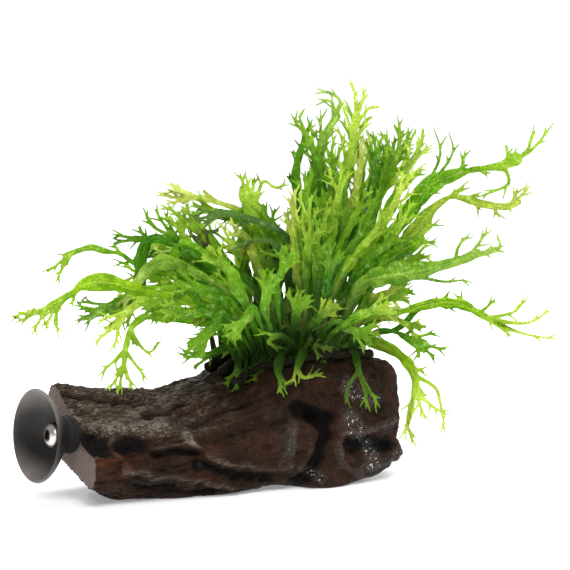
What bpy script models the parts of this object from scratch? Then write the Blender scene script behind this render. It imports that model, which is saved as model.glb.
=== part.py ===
"""Crested java fern growing on a chunk of driftwood that carries a rubber suction cup.

Frame: +Z up, +X along the wood with the cup at its -X end, origin on the flat underside of the wood.
"""
import math
from typing import NamedTuple

import bmesh
import bpy
import numpy as np
from mathutils import Matrix, Vector, geometry

MM = 0.001
GAP = 0.3 * MM                      # between pieces that touch

# Driftwood: outlines across the wood (Y, Z) in mm, from the lower front corner, up the front and over.
WOOD_SECTIONS = {
    -70: ((-13, 7.4), (-20, 10), (-21, 18), (-19, 23), (-8, 28), (3, 33),
          (10, 41), (18, 46.3), (27, 43), (30, 32), (24, 20), (8, 13.5)),
    -50: ((-2, -1), (-14, 4), (-21, 14), (-21, 22), (-16, 30), (0, 35),
          (12, 40.5), (21, 41.5), (28, 36), (29, 20), (22, 4), (8, -1)),
    -28: ((-12, -1), (-19, 5), (-23, 14), (-22, 24), (-17, 31), (-2, 37),
          (11, 40.5), (20, 40), (27, 33), (28, 18), (21, 2), (4, -1)),
    -10: ((-17, 0), (-23, 7), (-25, 17), (-24, 28), (-20, 36), (-8, 41),
          (8, 44), (19, 43), (26, 35), (27, 18), (21, 2), (2, -1)),
    12: ((-20, 2.5), (-25, 9), (-27, 19), (-26, 31), (-22, 43), (-11, 50),
         (6, 51.7), (18, 49.5), (25, 39), (26, 20), (21, 2), (4, -1)),
    36: ((-26, -1), (-29, 6), (-28, 19), (-26, 33), (-23, 45), (-12, 51),
         (5, 52), (17, 49), (24, 38), (25, 20), (19, 2), (-2, -1)),
    58: ((-24, 2), (-28, 8), (-27, 20), (-26, 34), (-23, 46), (-12, 50.5),
         (5, 51), (17, 47.5), (23, 37), (23, 20), (18, 5), (-3, 1)),
    71: ((-18, 7), (-22.5, 11), (-23, 21), (-23, 34), (-21, 46), (-12, 49.5),
         (4, 48.5), (15, 45.5), (20, 36), (20, 21), (15, 9), (-2, 6)),
}
WOOD_RINGS = 25
WOOD_RING_POINTS = 30

# Suction cup: stands out of the sawn end along an axis that rises, and turns a little to the front,
# towards the rim.
CUP_SEAT = Vector((-70, 0, 28.1)) * MM
CUP_RISE = math.radians(4)
CUP_TURN = math.radians(6)
CUP_LENGTH = 18 * MM
CUP_DIAMETER = 38 * MM
NECK_DIAMETER = 15 * MM
BORE_DIAMETER = 5 * MM
DISH_FLOOR = 9.8 * MM               # from the wood to where the screw head sits
RIM_FLAT = 1 * MM
NECK_LENGTH = 6 * MM                # before the flare
CUP_SIDES = 32

# Screw: a domed head with a six-lobed recess.
HEAD_DIAMETER = 10 * MM
HEAD_HEIGHT = 2.9 * MM
SHANK_DIAMETER = 3.8 * MM
SCREW_DEPTH = 13 * MM               # into the wood
RECESS_DIAMETER = 4.6 * MM
RECESS_DEPTH = 1.6 * MM
SCREW_SIDES = 18

# Rhizomes: creeping stems along the top of the wood, by their distance from its middle line.
RHIZOME_DIAMETER = 4.6 * MM
RHIZOME_SPAN = (-4 * MM, 66 * MM)
RHIZOMES = {"front": -12 * MM, "middle": 0 * MM, "back": 12 * MM}
RHIZOME_RINGS = 10
RHIZOME_SIDES = 8
WOOD_CLEARANCE = 0.6 * MM           # rhizome to wood, over the facets of both

# Fronds are drawn on an upright sheet turned about Z from the wood, the way the clump spreads, with
# across and high in mm from the middle of the clump. The drawing is a view from SIGHT away and a little
# above, so a frond that is deeper than the sheet is larger than it is drawn.
SIGHT = 800.0
FAN_TURN = math.radians(-30)
SIGHT_RISE = math.radians(6)
FAN_MIDDLE = Vector((21.5, -12.4, 85.3))
CLUMP_FOOT = (5.0, -27.0)           # where the fronds spread from, on the drawing
WOOD_SLANT = math.tan(-FAN_TURN)    # how fast the rhizomes run away from the sheet
SLANT_REACH = 45.0
BOWL_POWER = 1.3
BOWL_LIP = 6                        # how sharply a bowl levels off at its reach
BLADE_THICKNESS = 0.7 * MM
STALK_WIDTH = 1.8
TIP_WIDTH = 1.5
STALK_RISE = 2.6                    # a stalk leaves its rhizome upright
SPINE_POINTS = 60
LEAST_STATIONS = 7                  # along a blade's outline
ALMOST_STRAIGHT = math.radians(5)   # a corner of an outline that bends less than this is left out


class Frond(NamedTuple):
    """One frond: where it grows, how deep its tip lies, its width, its route and the tips of its crest."""

    rhizome: str
    along: float                    # mm along the wood
    deep: float                     # mm, how far behind the sheet the tip lies
    width: float | tuple            # mm, of the blade, or widths evenly spaced along the route
    route: tuple                    # across and high, in mm, from the stalk to the crest
    tips: tuple                     # each: where it leaves the route (0 to 1), then its points
    reach: float = 100.0            # mm from its middle to where deep is reached
    middle: tuple = CLUMP_FOOT      # of the bowl that it lies in, on the drawing


FRONDS = (
    # left, from the lowest to the highest
    Frond("front", 6, -14, 3.6, ((-16, -25), (-23.5, -25), (-30, -28.5), (-35, -29.8)),
          ((1, (-43, -28)), (1, (-43.3, -30.7)), (.8, (-39, -35.3))), 30, (-11, -29)),
    Frond("front", 9.5, -32, 4, ((-13, -25), (-19, -21), (-25, -15.5), (-29, -14.5)),
          ((1, (-38.6, -23)), (.9, (-25, -18), (-20, -22)), (1, (-36, -12))), 28, (-8, -29)),
    Frond("front", 15, -34, (1.8, 2.6, 5.5, 5.5, 4, 3, 2.6),
          ((-12, -20.5), (-25, -17.5), (-38, -15), (-50, -13.8), (-59, -13.5), (-64.5, -18),
          (-67, -26), (-68, -36)),
          ((1, (-74, -44.5)), (1, (-70.5, -46)), (.97, (-64, -44.5)), (.9, (-79, -38.5)),
           (.9, (-61, -36), (-57.5, -40.5)), (.8, (-58, -28.3), (-52, -23.5)))),
    Frond("front", 18.5, -42, (1.8, 2.6, 5, 7, 8, 7, 2, 2.6, 4),
          ((-16, -17.5), (-34, -10), (-50, -5), (-64, -1.5), (-75, 1.2), (-85, 0), (-90, -4), (-97, -7.5),
           (-103, -12)),
          ((1, (-116, -13.5)), (1, (-114.5, -16.5)), (.98, (-109, -13), (-106, -10)),
          (.97, (-107, -21.5)),
           (.93, (-101.7, -20)), (.9, (-97, -16), (-92, -20.5)))),
    Frond("front", 21.5, -27, 6, ((-12, -15.5), (-28, -9), (-44, -6), (-57, -6), (-66, -11), (-71, -18)),
          ((1, (-76.5, -19)), (1, (-81, -24.8)), (1, (-72, -27.6)), (.9, (-79, -15)))),
    Frond("middle", 15, -20, (1.8, 2.4, 5, 5, 6, 5, 4),
          ((-14, -8), (-32, 8), (-48, 18), (-57, 19), (-61, 10), (-61.5, 0), (-66, -6), (-74, -9.5),
          (-80, -12)),
          ((1, (-89.3, -8.5)), (1, (-85, -17)), (.97, (-89, -15.3)), (.93, (-85, -7), (-83, -4.5)),
           (.85, (-74, -14.5)))),
    Frond("middle", 4, -14, 6, ((-24, -16), (-33, -9), (-45, -3.5), (-54, -2)),
          ((1, (-64, -5)), (1, (-62, -1)), (.8, (-52, -9)))),
    Frond("middle", 11, -10, 8, ((-18, -10), (-29, -1), (-42, 5), (-52, 7)),
          ((1, (-60, 3.5)), (1, (-61, 8)), (.9, (-56, 11.5)))),
    Frond("middle", 7.5, 2, (1.8, 2.4, 3.5, 3, 3.8, 1.6, 2.6, 1.4),
          ((-21, -13), (-36, 0), (-54, 6), (-64, 9.5), (-69, 13), (-76, 14.3), (-82, 15.8), (-89, 13.5),
           (-93, 11)),
          ((1, (-100.3, 5.2)), (1, (-97, .5)))),
    Frond("middle", 19, 5, 7, ((-10, -8), (-21, 5), (-34, 12), (-45, 15)),
          ((1, (-57, 18)), (1, (-55.5, 13.5)), (.8, (-44, 8)), (.9, (-52, 10.5)))),
    Frond("back", 0, 8, 5.5, ((-33, -14), (-42, 2), (-52, 13), (-58, 18.5), (-63, 19.5)),
          ((1, (-72.7, 21.3)), (1, (-72.2, 17.8)), (.8, (-73, 8)), (.9, (-62, 24.5)))),
    Frond("back", 7, 14, 6, ((-26, -8), (-32, 7), (-41, 16), (-48, 21)),
          ((1, (-56, 25), (-59.7, 32.5)), (1, (-52, 27), (-55, 32.3)), (.95, (-51, 31)))),
    Frond("back", 10, 21, 7, ((-23, -5), (-27, 11), (-34, 21), (-40, 27)),
          ((1, (-42, 34.8)), (1, (-47, 31), (-53, 34)), (.9, (-49, 27)))),
    Frond("back", 13, 30, (1.8, 2.2, 3, 2.2, 3.6),
          ((-19, 0), (-17, 18), (-18, 30), (-26, 34), (-34, 36.3), (-41, 37.3)),
          ((1, (-48.6, 43.2)), (1, (-49.3, 40.3)), (.95, (-48, 37), (-54.7, 39.7)), (.95, (-51, 34)))),
    # middle, leaning left
    Frond("middle", 22.5, -1, 5.5, ((-7, -8), (-12, 8), (-16, 19), (-20, 22.5)),
          ((1, (-23.3, 26.8)), (.9, (-24, 22)))),
    Frond("middle", 26, 7, 8.5, ((-3, -10), (-6, 8), (-10.5, 24), (-15, 35), (-17, 40)),
          ((1, (-19, 47.3)), (.9, (-12.7, 45.5)), (.85, (-9.5, 43.3), (-4.3, 41), (-.6, 42.5), (0, 46)))),
    Frond("middle", 29.5, -10, 5, ((1, -8), (2.5, 5), (-1, 14), (-6, 19)),
          ((1, (-14, 18.7), (-22, 14.5)), (.9, (-10, 12)))),
    Frond("back", 24.5, 8, 5, ((-7, -8), (-3, 6), (-1, 17), (-6, 25.5), (-12, 29.5), (-22, 30.5)),
          ((1, (-30, 31.5), (-37, 30.5)), (1, (-33, 27)), (.9, (-27, 27.3)))),
    # middle, upright, from the front to the back
    Frond("front", 35, -8, 8, ((8, -12), (6, 6), (4.5, 20), (4, 30)),
          ((1, (4, 40.5)), (1, (1.5, 37)), (.8, (-.5, 29.5)))),
    Frond("front", 38.5, -2, 7.5, ((13, -12), (13, 4), (11.5, 18), (9.5, 28)),
          ((1, (5.5, 39)), (1, (11, 38)), (.9, (14, 33)))),
    Frond("middle", 33.5, 10, 7.5, ((6, -8), (9, 12), (10, 28), (8.5, 37)),
          ((1, (5, 44.5)), (1, (8.5, 48.5)), (1, (11.5, 49)))),
    Frond("middle", 38, 6, 7, ((11, -8), (17, 12), (21, 30), (23, 40)),
          ((1, (18, 49)), (1, (24, 52)), (1, (27, 48)))),
    Frond("middle", 43, 2, 7.5, ((17, -8), (26, 8), (32, 20), (36, 31)),
          ((1, (36, 42)), (1, (40, 41)), (.9, (31, 36)))),
    Frond("back", 28.5, 24, (1.8, 2.2, 4.2, 4, 2), ((-3, -4), (4, 20), (9, 38), (12, 50), (12, 57),
          (9.5, 62.5)),
          ((1, (5.5, 67), (2.4, 72.2)), (.97, (6.3, 70), (8.3, 74.3)), (.88, (11, 69.3)))),
    Frond("back", 32, 34, (1.8, 2.2, 5, 5, 4), ((1, -4), (8.5, 22), (12.5, 42), (14.5, 56), (18, 65),
          (22, 71)),
          ((1, (23, 78), (12.5, 83.2)), (1, (20, 76.5), (13.5, 78.5)), (.85, (15, 74)), (1, (22.5, 76)))),
    Frond("back", 38.5, 30, (1.8, 2.4, 6, 5, 4), ((6, -4), (16, 20), (23, 38), (27, 52), (29, 63),
          (30, 71)),
          ((1, (29.5, 79), (27.8, 87)), (1, (33, 79), (34.5, 83.5)), (.95, (35, 74), (39.5, 75.3)),
           (.88, (36, 71)), (.9, (24, 78)))),
    Frond("back", 42, 38, 6.5, ((10, -4), (20, 18), (28, 34), (33, 47)),
          ((1, (31, 61)), (1, (36, 60.5)), (.9, (27, 57)))),
    Frond("back", 48.5, 20, 5.5, ((18, -4), (27, 16), (34, 34), (38, 48), (39, 56)),
          ((1, (37, 64.7)), (1, (41.5, 59)), (.9, (34, 62)))),
    Frond("back", 52, 27, 6.5, ((21, -4), (31, 18), (38.5, 36), (45, 50), (48, 56)),
          ((1, (40, 65)), (1, (48.5, 63), (47.2, 71.4)), (1, (50, 65.5)), (.9, (42, 57.5)))),
    Frond("back", 55.5, 34, 6.5, ((25, -4), (37, 18), (46, 36), (52, 50)),
          ((1, (53, 61), (55.4, 66)), (1, (57.5, 60), (58.5, 65.5)), (1, (60, 58.7)), (.85, (58.5, 49)))),
    # right, from the top to the bottom
    Frond("middle", 48, 8, (1.8, 2.4, 6, 8, 8, 8, 2.4, 6),
          ((22, -8), (37, 12), (50, 28), (60, 41), (70, 46), (80, 48.7), (90, 50), (97, 53)),
          ((1, (102, 57), (105, 67.5)), (1, (104, 57), (113.3, 68.5)), (.98, (93.5, 58.8)),
           (.95, (94.3, 43), (88, 39.5), (80.5, 36.8)), (.58, (65, 53), (62.6, 66.5)), (.62, (70, 54),
           (69, 64.5)),
           (.8, (76, 57)))),
    Frond("middle", 52, -6, (1.8, 2.4, 6, 7.5, 7.5, 2, 4, 3.5),
          ((26, -9), (41, 6), (54, 22), (62, 32), (69, 37), (76, 36.3), (84, 34), (93, 33), (98, 35)),
          ((1, (103.5, 41.7)), (.97, (98, 41)), (.9, (90, 28.5)), (.82, (82.5, 31.5)), (.6, (77.5, 44)))),
    Frond("front", 44.5, -14, (1.8, 2.4, 7.5, 9, 6), ((21, -11), (34, 2), (47, 13), (57, 19)),
          ((1, (64, 18)), (1, (61, 25)), (.9, (65.5, 28)), (.8, (59, 12)))),
    Frond("front", 41.5, -5, 6, ((17, -12), (24, 4), (32, 15), (39, 24)),
          ((1, (46, 30)), (1, (41, 32)), (.9, (47, 25)))),
    Frond("front", 47.5, -34, (1.8, 3.5, 10, 13, 12, 8, 6),
          ((24, -17), (36, -4), (48, 4), (60, 6), (71, 9.3), (79, 12)),
          ((1, (88, 15.5), (92, 16.3)), (.98, (84, 21), (85, 25)), (.9, (73, 16), (78, 22)),
           (.98, (90, 15), (89, 21)), (.62, (66, 1.5), (75, 2), (80, .4)))),
    Frond("front", 51, -32, 5,
          ((28, -19), (38, -13.5), (48, -11.5), (57, -9), (66, -7.3), (74, -8), (81, -11.5), (87, -15)),
          ((1, (96, -19), (105, -21.5), (116, -23)), (1, (97, -11), (101, -4)), (1, (102, -16),
          (115, -8)),
           (.92, (89, -5.5)), (1, (96, -22)), (.8, (73, -4.5)))),
    Frond("front", 58, -38, (1.8, 2.6, 2, 2.4, 5), ((33, -23), (40, -19.2), (47, -20), (53, -23.3),
          (58, -25.5)),
          ((1, (68, -27.3)), (1, (63, -31)), (.8, (64, -20)), (.75, (56, -16)), (.95, (56, -30.5)))),
    Frond("front", 61, -34, (1.8, 4.5, 4.6, 4.6, 3), ((40, -25), (47, -28.5), (52.5, -34), (55, -40),
          (54.5, -46)),
          ((1, (52.5, -57), (48, -65)), (1, (51.5, -58), (55.5, -69)), (.95, (62, -51), (69, -55)),
           (.95, (59, -57)), (.7, (58.5, -36.5)), (.8, (63, -43), (65.5, -50), (67.5, -63)))),
    # front, short ones that lean over the wood
    Frond("front", 29, -34, 4.5, ((7, -24), (8, -21), (8, -18.5)),
          ((1, (3, -5.8)), (1, (-1.8, -16.8)), (.9, (16, -17), (22, -13.3)), (1, (9, -7)),
          (.7, (14, -24))),
          24, (6, -28)),
    Frond("front", 26.5, -34, 3, ((3, -24), (-1, -21.5), (-4, -21.5)),
          ((1, (-7, -24), (-2, -27)), (1, (-11, -19.5))), 12, (4, -28)),
    Frond("front", 24, -34, 5, ((1, -26), (-2, -31), (-3, -36), (-2, -39)), ((1, (-2, -45.5)),
          (1, (1, -42))),
          12, (2, -28)),
    Frond("front", 32, -36, 4, ((9, -25.5), (7, -30), (5, -35)), ((1, (8, -39), (16, -37)),
          (1, (3, -41))),
          9, (9, -28)),
    Frond("front", 54.5, -17, 3.6, ((28.5, -25.5), (30, -31), (31.5, -38)),
          ((1, (34, -46), (34, -52)), (.95, (36.5, -46), (40, -51.5)), (.9, (27, -42), (25.3, -50.5))),
          7, (28.5, -26.5)),
    # back, behind the others
    Frond("back", 3.5, 44, 7, ((-29, -12), (-35, 0), (-41, 8), (-47, 9)),
          ((1, (-54, 12)), (1, (-53, 6)), (.8, (-44, 15)))),
    Frond("back", 16.5, 52, 7.5, ((-16, -2), (-18, 9), (-23, 18)),
          ((1, (-32, 24)), (1, (-27, 26)), (.9, (-31, 18)))),
    Frond("back", 20.5, 60, 7, ((-11, -4), (-10, 8), (-9, 18)), ((1, (-12, 27)), (1, (-8, 28)),
          (.9, (-14, 22)))),
    Frond("back", 35, 62, 7.5, ((3, 0), (12, 18), (16.5, 32)), ((1, (16, 44)), (1, (20, 45)),
          (1, (23, 42)))),
    Frond("back", 45, 54, 7.5, ((14, -4), (23, 14), (30, 28)), ((1, (33, 42)), (1, (29, 41)),
          (.9, (37, 34)))),
    Frond("back", 59, 48, 7, ((28, -6), (39, 7), (47, 16)), ((1, (55, 25)), (1, (56, 19)),
          (.9, (48, 25)))),
    Frond("back", 62.5, 60, 6.5, ((31, -13), (39, -7), (46, -4)), ((1, (54, -2)), (1, (51, 3)),
          (.9, (53, -7)))),
)

COLOURS = {                         # linear base colour, roughness, metallic
    "driftwood": ((0.035, 0.024, 0.019), 0.45, 0),
    "rubber": ((0.025, 0.024, 0.024), 0.55, 0),
    "steel": ((0.62, 0.60, 0.57), 0.28, 1),
    "rhizome": ((0.055, 0.060, 0.018), 0.6, 0),
    "frond": ((0.090, 0.300, 0.022), 0.4, 0),
}


def clear_scene():
    """Remove everything that a new file starts with."""
    for thing in list(bpy.context.scene.objects):
        bpy.data.objects.remove(thing, do_unlink=True)


def material(name):
    """Return the Principled material of a piece, made once."""
    found = bpy.data.materials.get(name)
    if found:
        return found
    colour, roughness, metallic = COLOURS[name]
    made = bpy.data.materials.new(name)
    made.use_nodes = True
    shader = made.node_tree.nodes["Principled BSDF"]
    shader.inputs["Base Color"].default_value = (*colour, 1)
    shader.inputs["Roughness"].default_value = roughness
    shader.inputs["Metallic"].default_value = metallic
    return made


def add_piece(name, bm, finish, smooth_angle=40):
    """Turn a bmesh into a named object with its material, shaded smooth up to an angle in degrees."""
    bmesh.ops.recalc_face_normals(bm, faces=bm.faces)
    mesh = bpy.data.meshes.new(name)
    bm.to_mesh(mesh)
    bm.free()
    mesh.shade_smooth()
    mesh.set_sharp_from_angle(angle=math.radians(smooth_angle))
    mesh.materials.append(material(finish))
    piece = bpy.data.objects.new(name, mesh)
    bpy.context.scene.collection.objects.link(piece)
    return piece


def cut(piece, cutter):
    """Take the cutter's shape out of a piece and hide the cutter."""
    cutter.hide_render = True
    cutter.display_type = "WIRE"
    boolean = piece.modifiers.new("cut", "BOOLEAN")
    boolean.operation = "DIFFERENCE"
    boolean.solver = "EXACT"
    boolean.object = cutter


def smooth_line(points, count, closed=False):
    """Return count points evenly spaced along a Catmull-Rom curve through the given points."""
    pts = [np.array(p, float) for p in points]
    if closed:
        pts = [pts[-1], *pts, pts[0], pts[1]]
    else:
        pts = [2 * pts[0] - pts[1], *pts, 2 * pts[-1] - pts[-2]]
    fine = []
    steps = 16
    for a, b, c, d in zip(pts, pts[1:], pts[2:], pts[3:]):
        for i in range(steps):
            t = i / steps
            fine.append(0.5 * (2 * b + (c - a) * t + (2 * a - 5 * b + 4 * c - d) * t * t
                               + (3 * b - 3 * c + d - a) * t ** 3))
    fine.append(pts[-2])
    fine = np.array(fine)
    length = np.concatenate([[0], np.cumsum(np.linalg.norm(np.diff(fine, axis=0), axis=1))])
    wanted = np.linspace(0, length[-1], count + 1 if closed else count)
    line = np.stack([np.interp(wanted, length, fine[:, i]) for i in range(fine.shape[1])], axis=1)
    return line[:-1] if closed else line


def bridge(bm, rings):
    """Join rings of vertices, in order, into a skin with flat ends."""
    for low, high in zip(rings, rings[1:]):
        n = len(low)
        for i in range(n):
            bm.faces.new((low[i], low[(i + 1) % n], high[(i + 1) % n], high[i]))
    bm.faces.new(list(reversed(rings[0])))
    bm.faces.new(rings[-1])


# ---- driftwood -----------------------------------------------------------------------------------

def wood_outline(x):
    """Return the outline (Y, Z) in mm at x mm along the wood, between the drawn sections."""
    stations = sorted(WOOD_SECTIONS)
    keys = np.array([WOOD_SECTIONS[s] for s in stations], float)
    i = min(max(np.searchsorted(stations, x) - 1, 0), len(stations) - 2)
    t = (x - stations[i]) / (stations[i + 1] - stations[i])
    t = t * t * (3 - 2 * t)
    ring = smooth_line(keys[i] * (1 - t) + keys[i + 1] * t, WOOD_RING_POINTS, closed=True)
    ring[:, 1] = np.maximum(ring[:, 1], 0)
    return ring


def wood_top(x, y):
    """Return the height of the wood's upper surface at (x, y), all in metres."""
    ring = wood_outline(x / MM)
    upper = ring[ring[:, 1] > 30]
    order = np.argsort(upper[:, 0])
    return np.interp(y / MM, upper[order, 0], upper[order, 1]) * MM


def cup_frame():
    """Return the matrix of the cup's axis: its +Z runs from the wood out to the rim."""
    tilt = Matrix.Rotation(-(math.pi / 2 - CUP_RISE), 4, "Y")
    return Matrix.Translation(CUP_SEAT) @ Matrix.Rotation(CUP_TURN, 4, "Z") @ tilt


def build_driftwood():
    """Make the wood: a skin through the sections, flat below, with a pilot hole for the screw."""
    bm = bmesh.new()
    ends = min(WOOD_SECTIONS), max(WOOD_SECTIONS)
    rings = []
    for x in np.linspace(*ends, WOOD_RINGS):
        rings.append([bm.verts.new((x * MM, y * MM, z * MM)) for y, z in wood_outline(x)])
    bridge(bm, rings)
    wood = add_piece("driftwood", bm, "driftwood", smooth_angle=50)
    drill = bmesh.new()
    bmesh.ops.create_cone(drill, cap_ends=True, segments=12, radius1=SHANK_DIAMETER / 2 + GAP,
                          radius2=SHANK_DIAMETER / 2 + GAP, depth=2 * (SCREW_DEPTH + 2 * MM),
                          matrix=cup_frame())
    cut(wood, add_piece("pilot_hole", drill, "driftwood"))


# ---- suction cup and screw -----------------------------------------------------------------------

def turned(profile, sides):
    """Spin a closed profile of (radius, height) about Z; points on the axis become one vertex."""
    bm = bmesh.new()
    rings = []
    for radius, height in profile:
        if radius == 0:
            rings.append([bm.verts.new((0, 0, height))])
            continue
        turns = [2 * math.pi * i / sides for i in range(sides)]
        rings.append([bm.verts.new((radius * math.cos(t), radius * math.sin(t), height)) for t in turns])
    if profile[0][0] > 0:
        rings.append(rings[0])
    for low, high in zip(rings, rings[1:]):
        for i in range(sides):
            j = (i + 1) % sides
            corners = [low[i % len(low)], low[j % len(low)], high[j % len(high)], high[i % len(high)]]
            bm.faces.new(list(dict.fromkeys(corners)))
    return bm


def build_cup():
    """Make the cup: a neck against the wood that flares into a thin dish with a flat rim."""
    rim = CUP_DIAMETER / 2
    neck = NECK_DIAMETER / 2
    bore = BORE_DIAMETER / 2
    foot = GAP + neck * math.hypot(math.tan(CUP_RISE), math.tan(CUP_TURN))
    profile = (
        (bore, foot), (neck - 0.6 * MM, foot), (neck, foot + 0.6 * MM), (neck, NECK_LENGTH),
        (neck + 1.5 * MM, NECK_LENGTH + 2.2 * MM), (rim * 0.68, 11.2 * MM), (rim * 0.9, 14.8 * MM),
        (rim - 0.2 * MM, CUP_LENGTH - 0.9 * MM), (rim, CUP_LENGTH - 0.4 * MM),
        (rim - 0.3 * MM, CUP_LENGTH), (rim - 0.3 * MM - RIM_FLAT, CUP_LENGTH),
        (rim * 0.82, CUP_LENGTH - 3 * MM), (rim * 0.6, DISH_FLOOR + 2.3 * MM),
        (rim * 0.4, DISH_FLOOR + 0.5 * MM), (HEAD_DIAMETER / 2 + 0.7 * MM, DISH_FLOOR),
        (bore, DISH_FLOOR),
    )
    bm = turned(profile, CUP_SIDES)
    bm.transform(cup_frame())
    add_piece("suction_cup", bm, "rubber")


def build_screw():
    """Make the screw: a domed head on a shank that runs through the cup into the wood."""
    head = HEAD_DIAMETER / 2
    shank = SHANK_DIAMETER / 2
    seat = DISH_FLOOR + GAP
    dome = [(head * math.cos(t), seat + 0.6 * MM + (HEAD_HEIGHT - 0.6 * MM) * math.sin(t))
            for t in np.radians((0, 25, 50, 72))]
    profile = ((0, -SCREW_DEPTH), (shank, -SCREW_DEPTH + 4 * MM), (shank, seat), (head, seat), *dome,
               (0, seat + HEAD_HEIGHT))
    bm = turned(profile, SCREW_SIDES)
    bm.transform(cup_frame())
    screw = add_piece("screw", bm, "steel")
    drive = bmesh.new()
    lobes = 6
    points = 4 * lobes
    turns = [2 * math.pi * i / points for i in range(points)]
    radii = [RECESS_DIAMETER / 2 * (0.86 + 0.14 * math.cos(lobes * t)) for t in turns]
    base = seat + HEAD_HEIGHT - RECESS_DEPTH
    rings = []
    for height in (base, base + 2 * RECESS_DEPTH):
        rings.append([drive.verts.new((r * math.cos(t), r * math.sin(t), height))
                      for r, t in zip(radii, turns)])
    bridge(drive, rings)
    drive.transform(cup_frame())
    cut(screw, add_piece("recess", drive, "steel"))


# ---- rhizomes and fronds -------------------------------------------------------------------------

def rhizome_axis(x, y):
    """Return the middle of a rhizome at x along the wood, for the rhizome at y across it, in metres."""
    return Vector((x, y, wood_top(x, y) + WOOD_CLEARANCE + RHIZOME_DIAMETER / 2))


def build_rhizomes():
    """Make the creeping stems: round tubes that follow the wood and end blunt."""
    for name, y in RHIZOMES.items():
        bm = bmesh.new()
        rings = []
        for x in np.linspace(*RHIZOME_SPAN, RHIZOME_RINGS):
            end = min(x - RHIZOME_SPAN[0], RHIZOME_SPAN[1] - x)
            radius = RHIZOME_DIAMETER / 2 * (0.55 if end < 1 * MM else 1)
            middle = rhizome_axis(x, y)
            ring = []
            for i in range(RHIZOME_SIDES):
                t = 2 * math.pi * (i + 0.5) / RHIZOME_SIDES
                ring.append(bm.verts.new(middle + radius * Vector((0, math.cos(t), math.sin(t)))))
            rings.append(ring)
        bridge(bm, rings)
        add_piece(f"rhizome_{name}", bm, "rhizome")


def from_sheet(across, high, deep):
    """Return the place in metres of a drawn point that lies deep mm behind the sheet."""
    rise = math.sin(SIGHT_RISE)
    level = math.cos(SIGHT_RISE)
    scale = (1 + level * deep / SIGHT + rise * rise * deep / level / SIGHT) / (1 + rise / level * high / SIGHT)
    right = Vector((math.cos(FAN_TURN), math.sin(FAN_TURN), 0))
    away = Vector((-math.sin(FAN_TURN), math.cos(FAN_TURN), 0))
    up = (high * scale - rise * deep) / level
    return (FAN_MIDDLE + right * across * scale + away * deep + Vector((0, 0, up))) * MM


def to_sheet(place):
    """Return across, high and deep in mm of a place in metres: the reverse of from_sheet."""
    offset = place / MM - FAN_MIDDLE
    right = Vector((math.cos(FAN_TURN), math.sin(FAN_TURN), 0))
    away = Vector((-math.sin(FAN_TURN), math.cos(FAN_TURN), 0))
    rise = math.sin(SIGHT_RISE)
    level = math.cos(SIGHT_RISE)
    deep = offset.dot(away)
    scale = (SIGHT + level * deep - rise * offset.z) / SIGHT
    return offset.dot(right) / scale, (level * offset.z + rise * deep) / scale, deep


def bowl(across, high, frond):
    """Return the share of a frond's depth that is reached at a drawn point, and the slant that all share."""
    far = np.hypot(across - CLUMP_FOOT[0], high - CLUMP_FOOT[1])
    slant = WOOD_SLANT * across / (1 + (far / SLANT_REACH) ** 2)
    out = np.hypot(across - frond.middle[0], high - frond.middle[1]) / frond.reach
    levelled = out / (1 + out ** BOWL_LIP) ** (1 / BOWL_LIP)
    return levelled ** BOWL_POWER, slant


class Sheet:
    """The surface a frond lies in: its depth behind the drawing at any drawn point."""

    def __init__(self, frond):
        """Lay the surface from the frond's stalk on its rhizome to the depth of its tips."""
        y = RHIZOMES[frond.rhizome]
        x = frond.along * MM
        foot = rhizome_axis(x, y) + Vector((0, 0, RHIZOME_DIAMETER / 2 + 2 * GAP))
        across, high, deep = to_sheet(foot)
        share, slant = bowl(across, high, frond)
        self.frond = frond
        self.foot = (deep - slant - frond.deep * share) / (1 - share)
        self.spine = smooth_line([(across, high), (across, high + STALK_RISE), *frond.route], SPINE_POINTS)

    def depth(self, across, high):
        """Return how far behind the sheet the surface lies, in mm."""
        share, slant = bowl(across, high, self.frond)
        return slant + self.foot + (self.frond.deep - self.foot) * share

    def place(self, point):
        """Return the place in metres of a drawn point."""
        return from_sheet(point[0], point[1], self.depth(*point))


def ribbon(line, widths):
    """Return the outline of a ribbon along a line, as a list of points; a width of 0 makes a point."""
    line = np.array(line)
    heading = np.gradient(line, axis=0)
    heading /= np.linalg.norm(heading, axis=1)[:, None]
    side = np.stack([-heading[:, 1], heading[:, 0]], axis=1) * (np.array(widths) / 2)[:, None]
    left = list(line + side)
    right = list(line - side)
    if widths[-1] == 0:
        right.pop()
    return right + left[::-1]


def frond_ribbons(sheet):
    """Return the outlines of a frond's stalk and blade, and of each fork of its crest, on the drawing."""
    frond = sheet.frond
    spine = sheet.spine
    drawn = frond.width
    if not isinstance(drawn, tuple):
        drawn = (STALK_WIDTH, 1.3 * STALK_WIDTH, drawn, 0.85 * drawn, 1.4 * STALK_WIDTH)
    count = max(LEAST_STATIONS, len(drawn))
    widths = np.interp(np.linspace(0, 1, count), np.linspace(0, 1, len(drawn)), drawn)
    stations = np.linspace(0, len(spine) - 1, count).round().astype(int)
    outlines = [ribbon(spine[stations], widths)]
    for start, *points in frond.tips:
        at = min(int(start * (len(spine) - 1)), len(spine) - 3)
        back = max(at - 3, 0)
        line = smooth_line([spine[back], spine[at], *points], 3 + 2 * (len(points) - 1))
        taper = np.linspace(TIP_WIDTH * 1.3, TIP_WIDTH * 0.5, len(line))
        taper[-1] = 0
        outlines.append(ribbon(line, taper))
    return outlines


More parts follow.
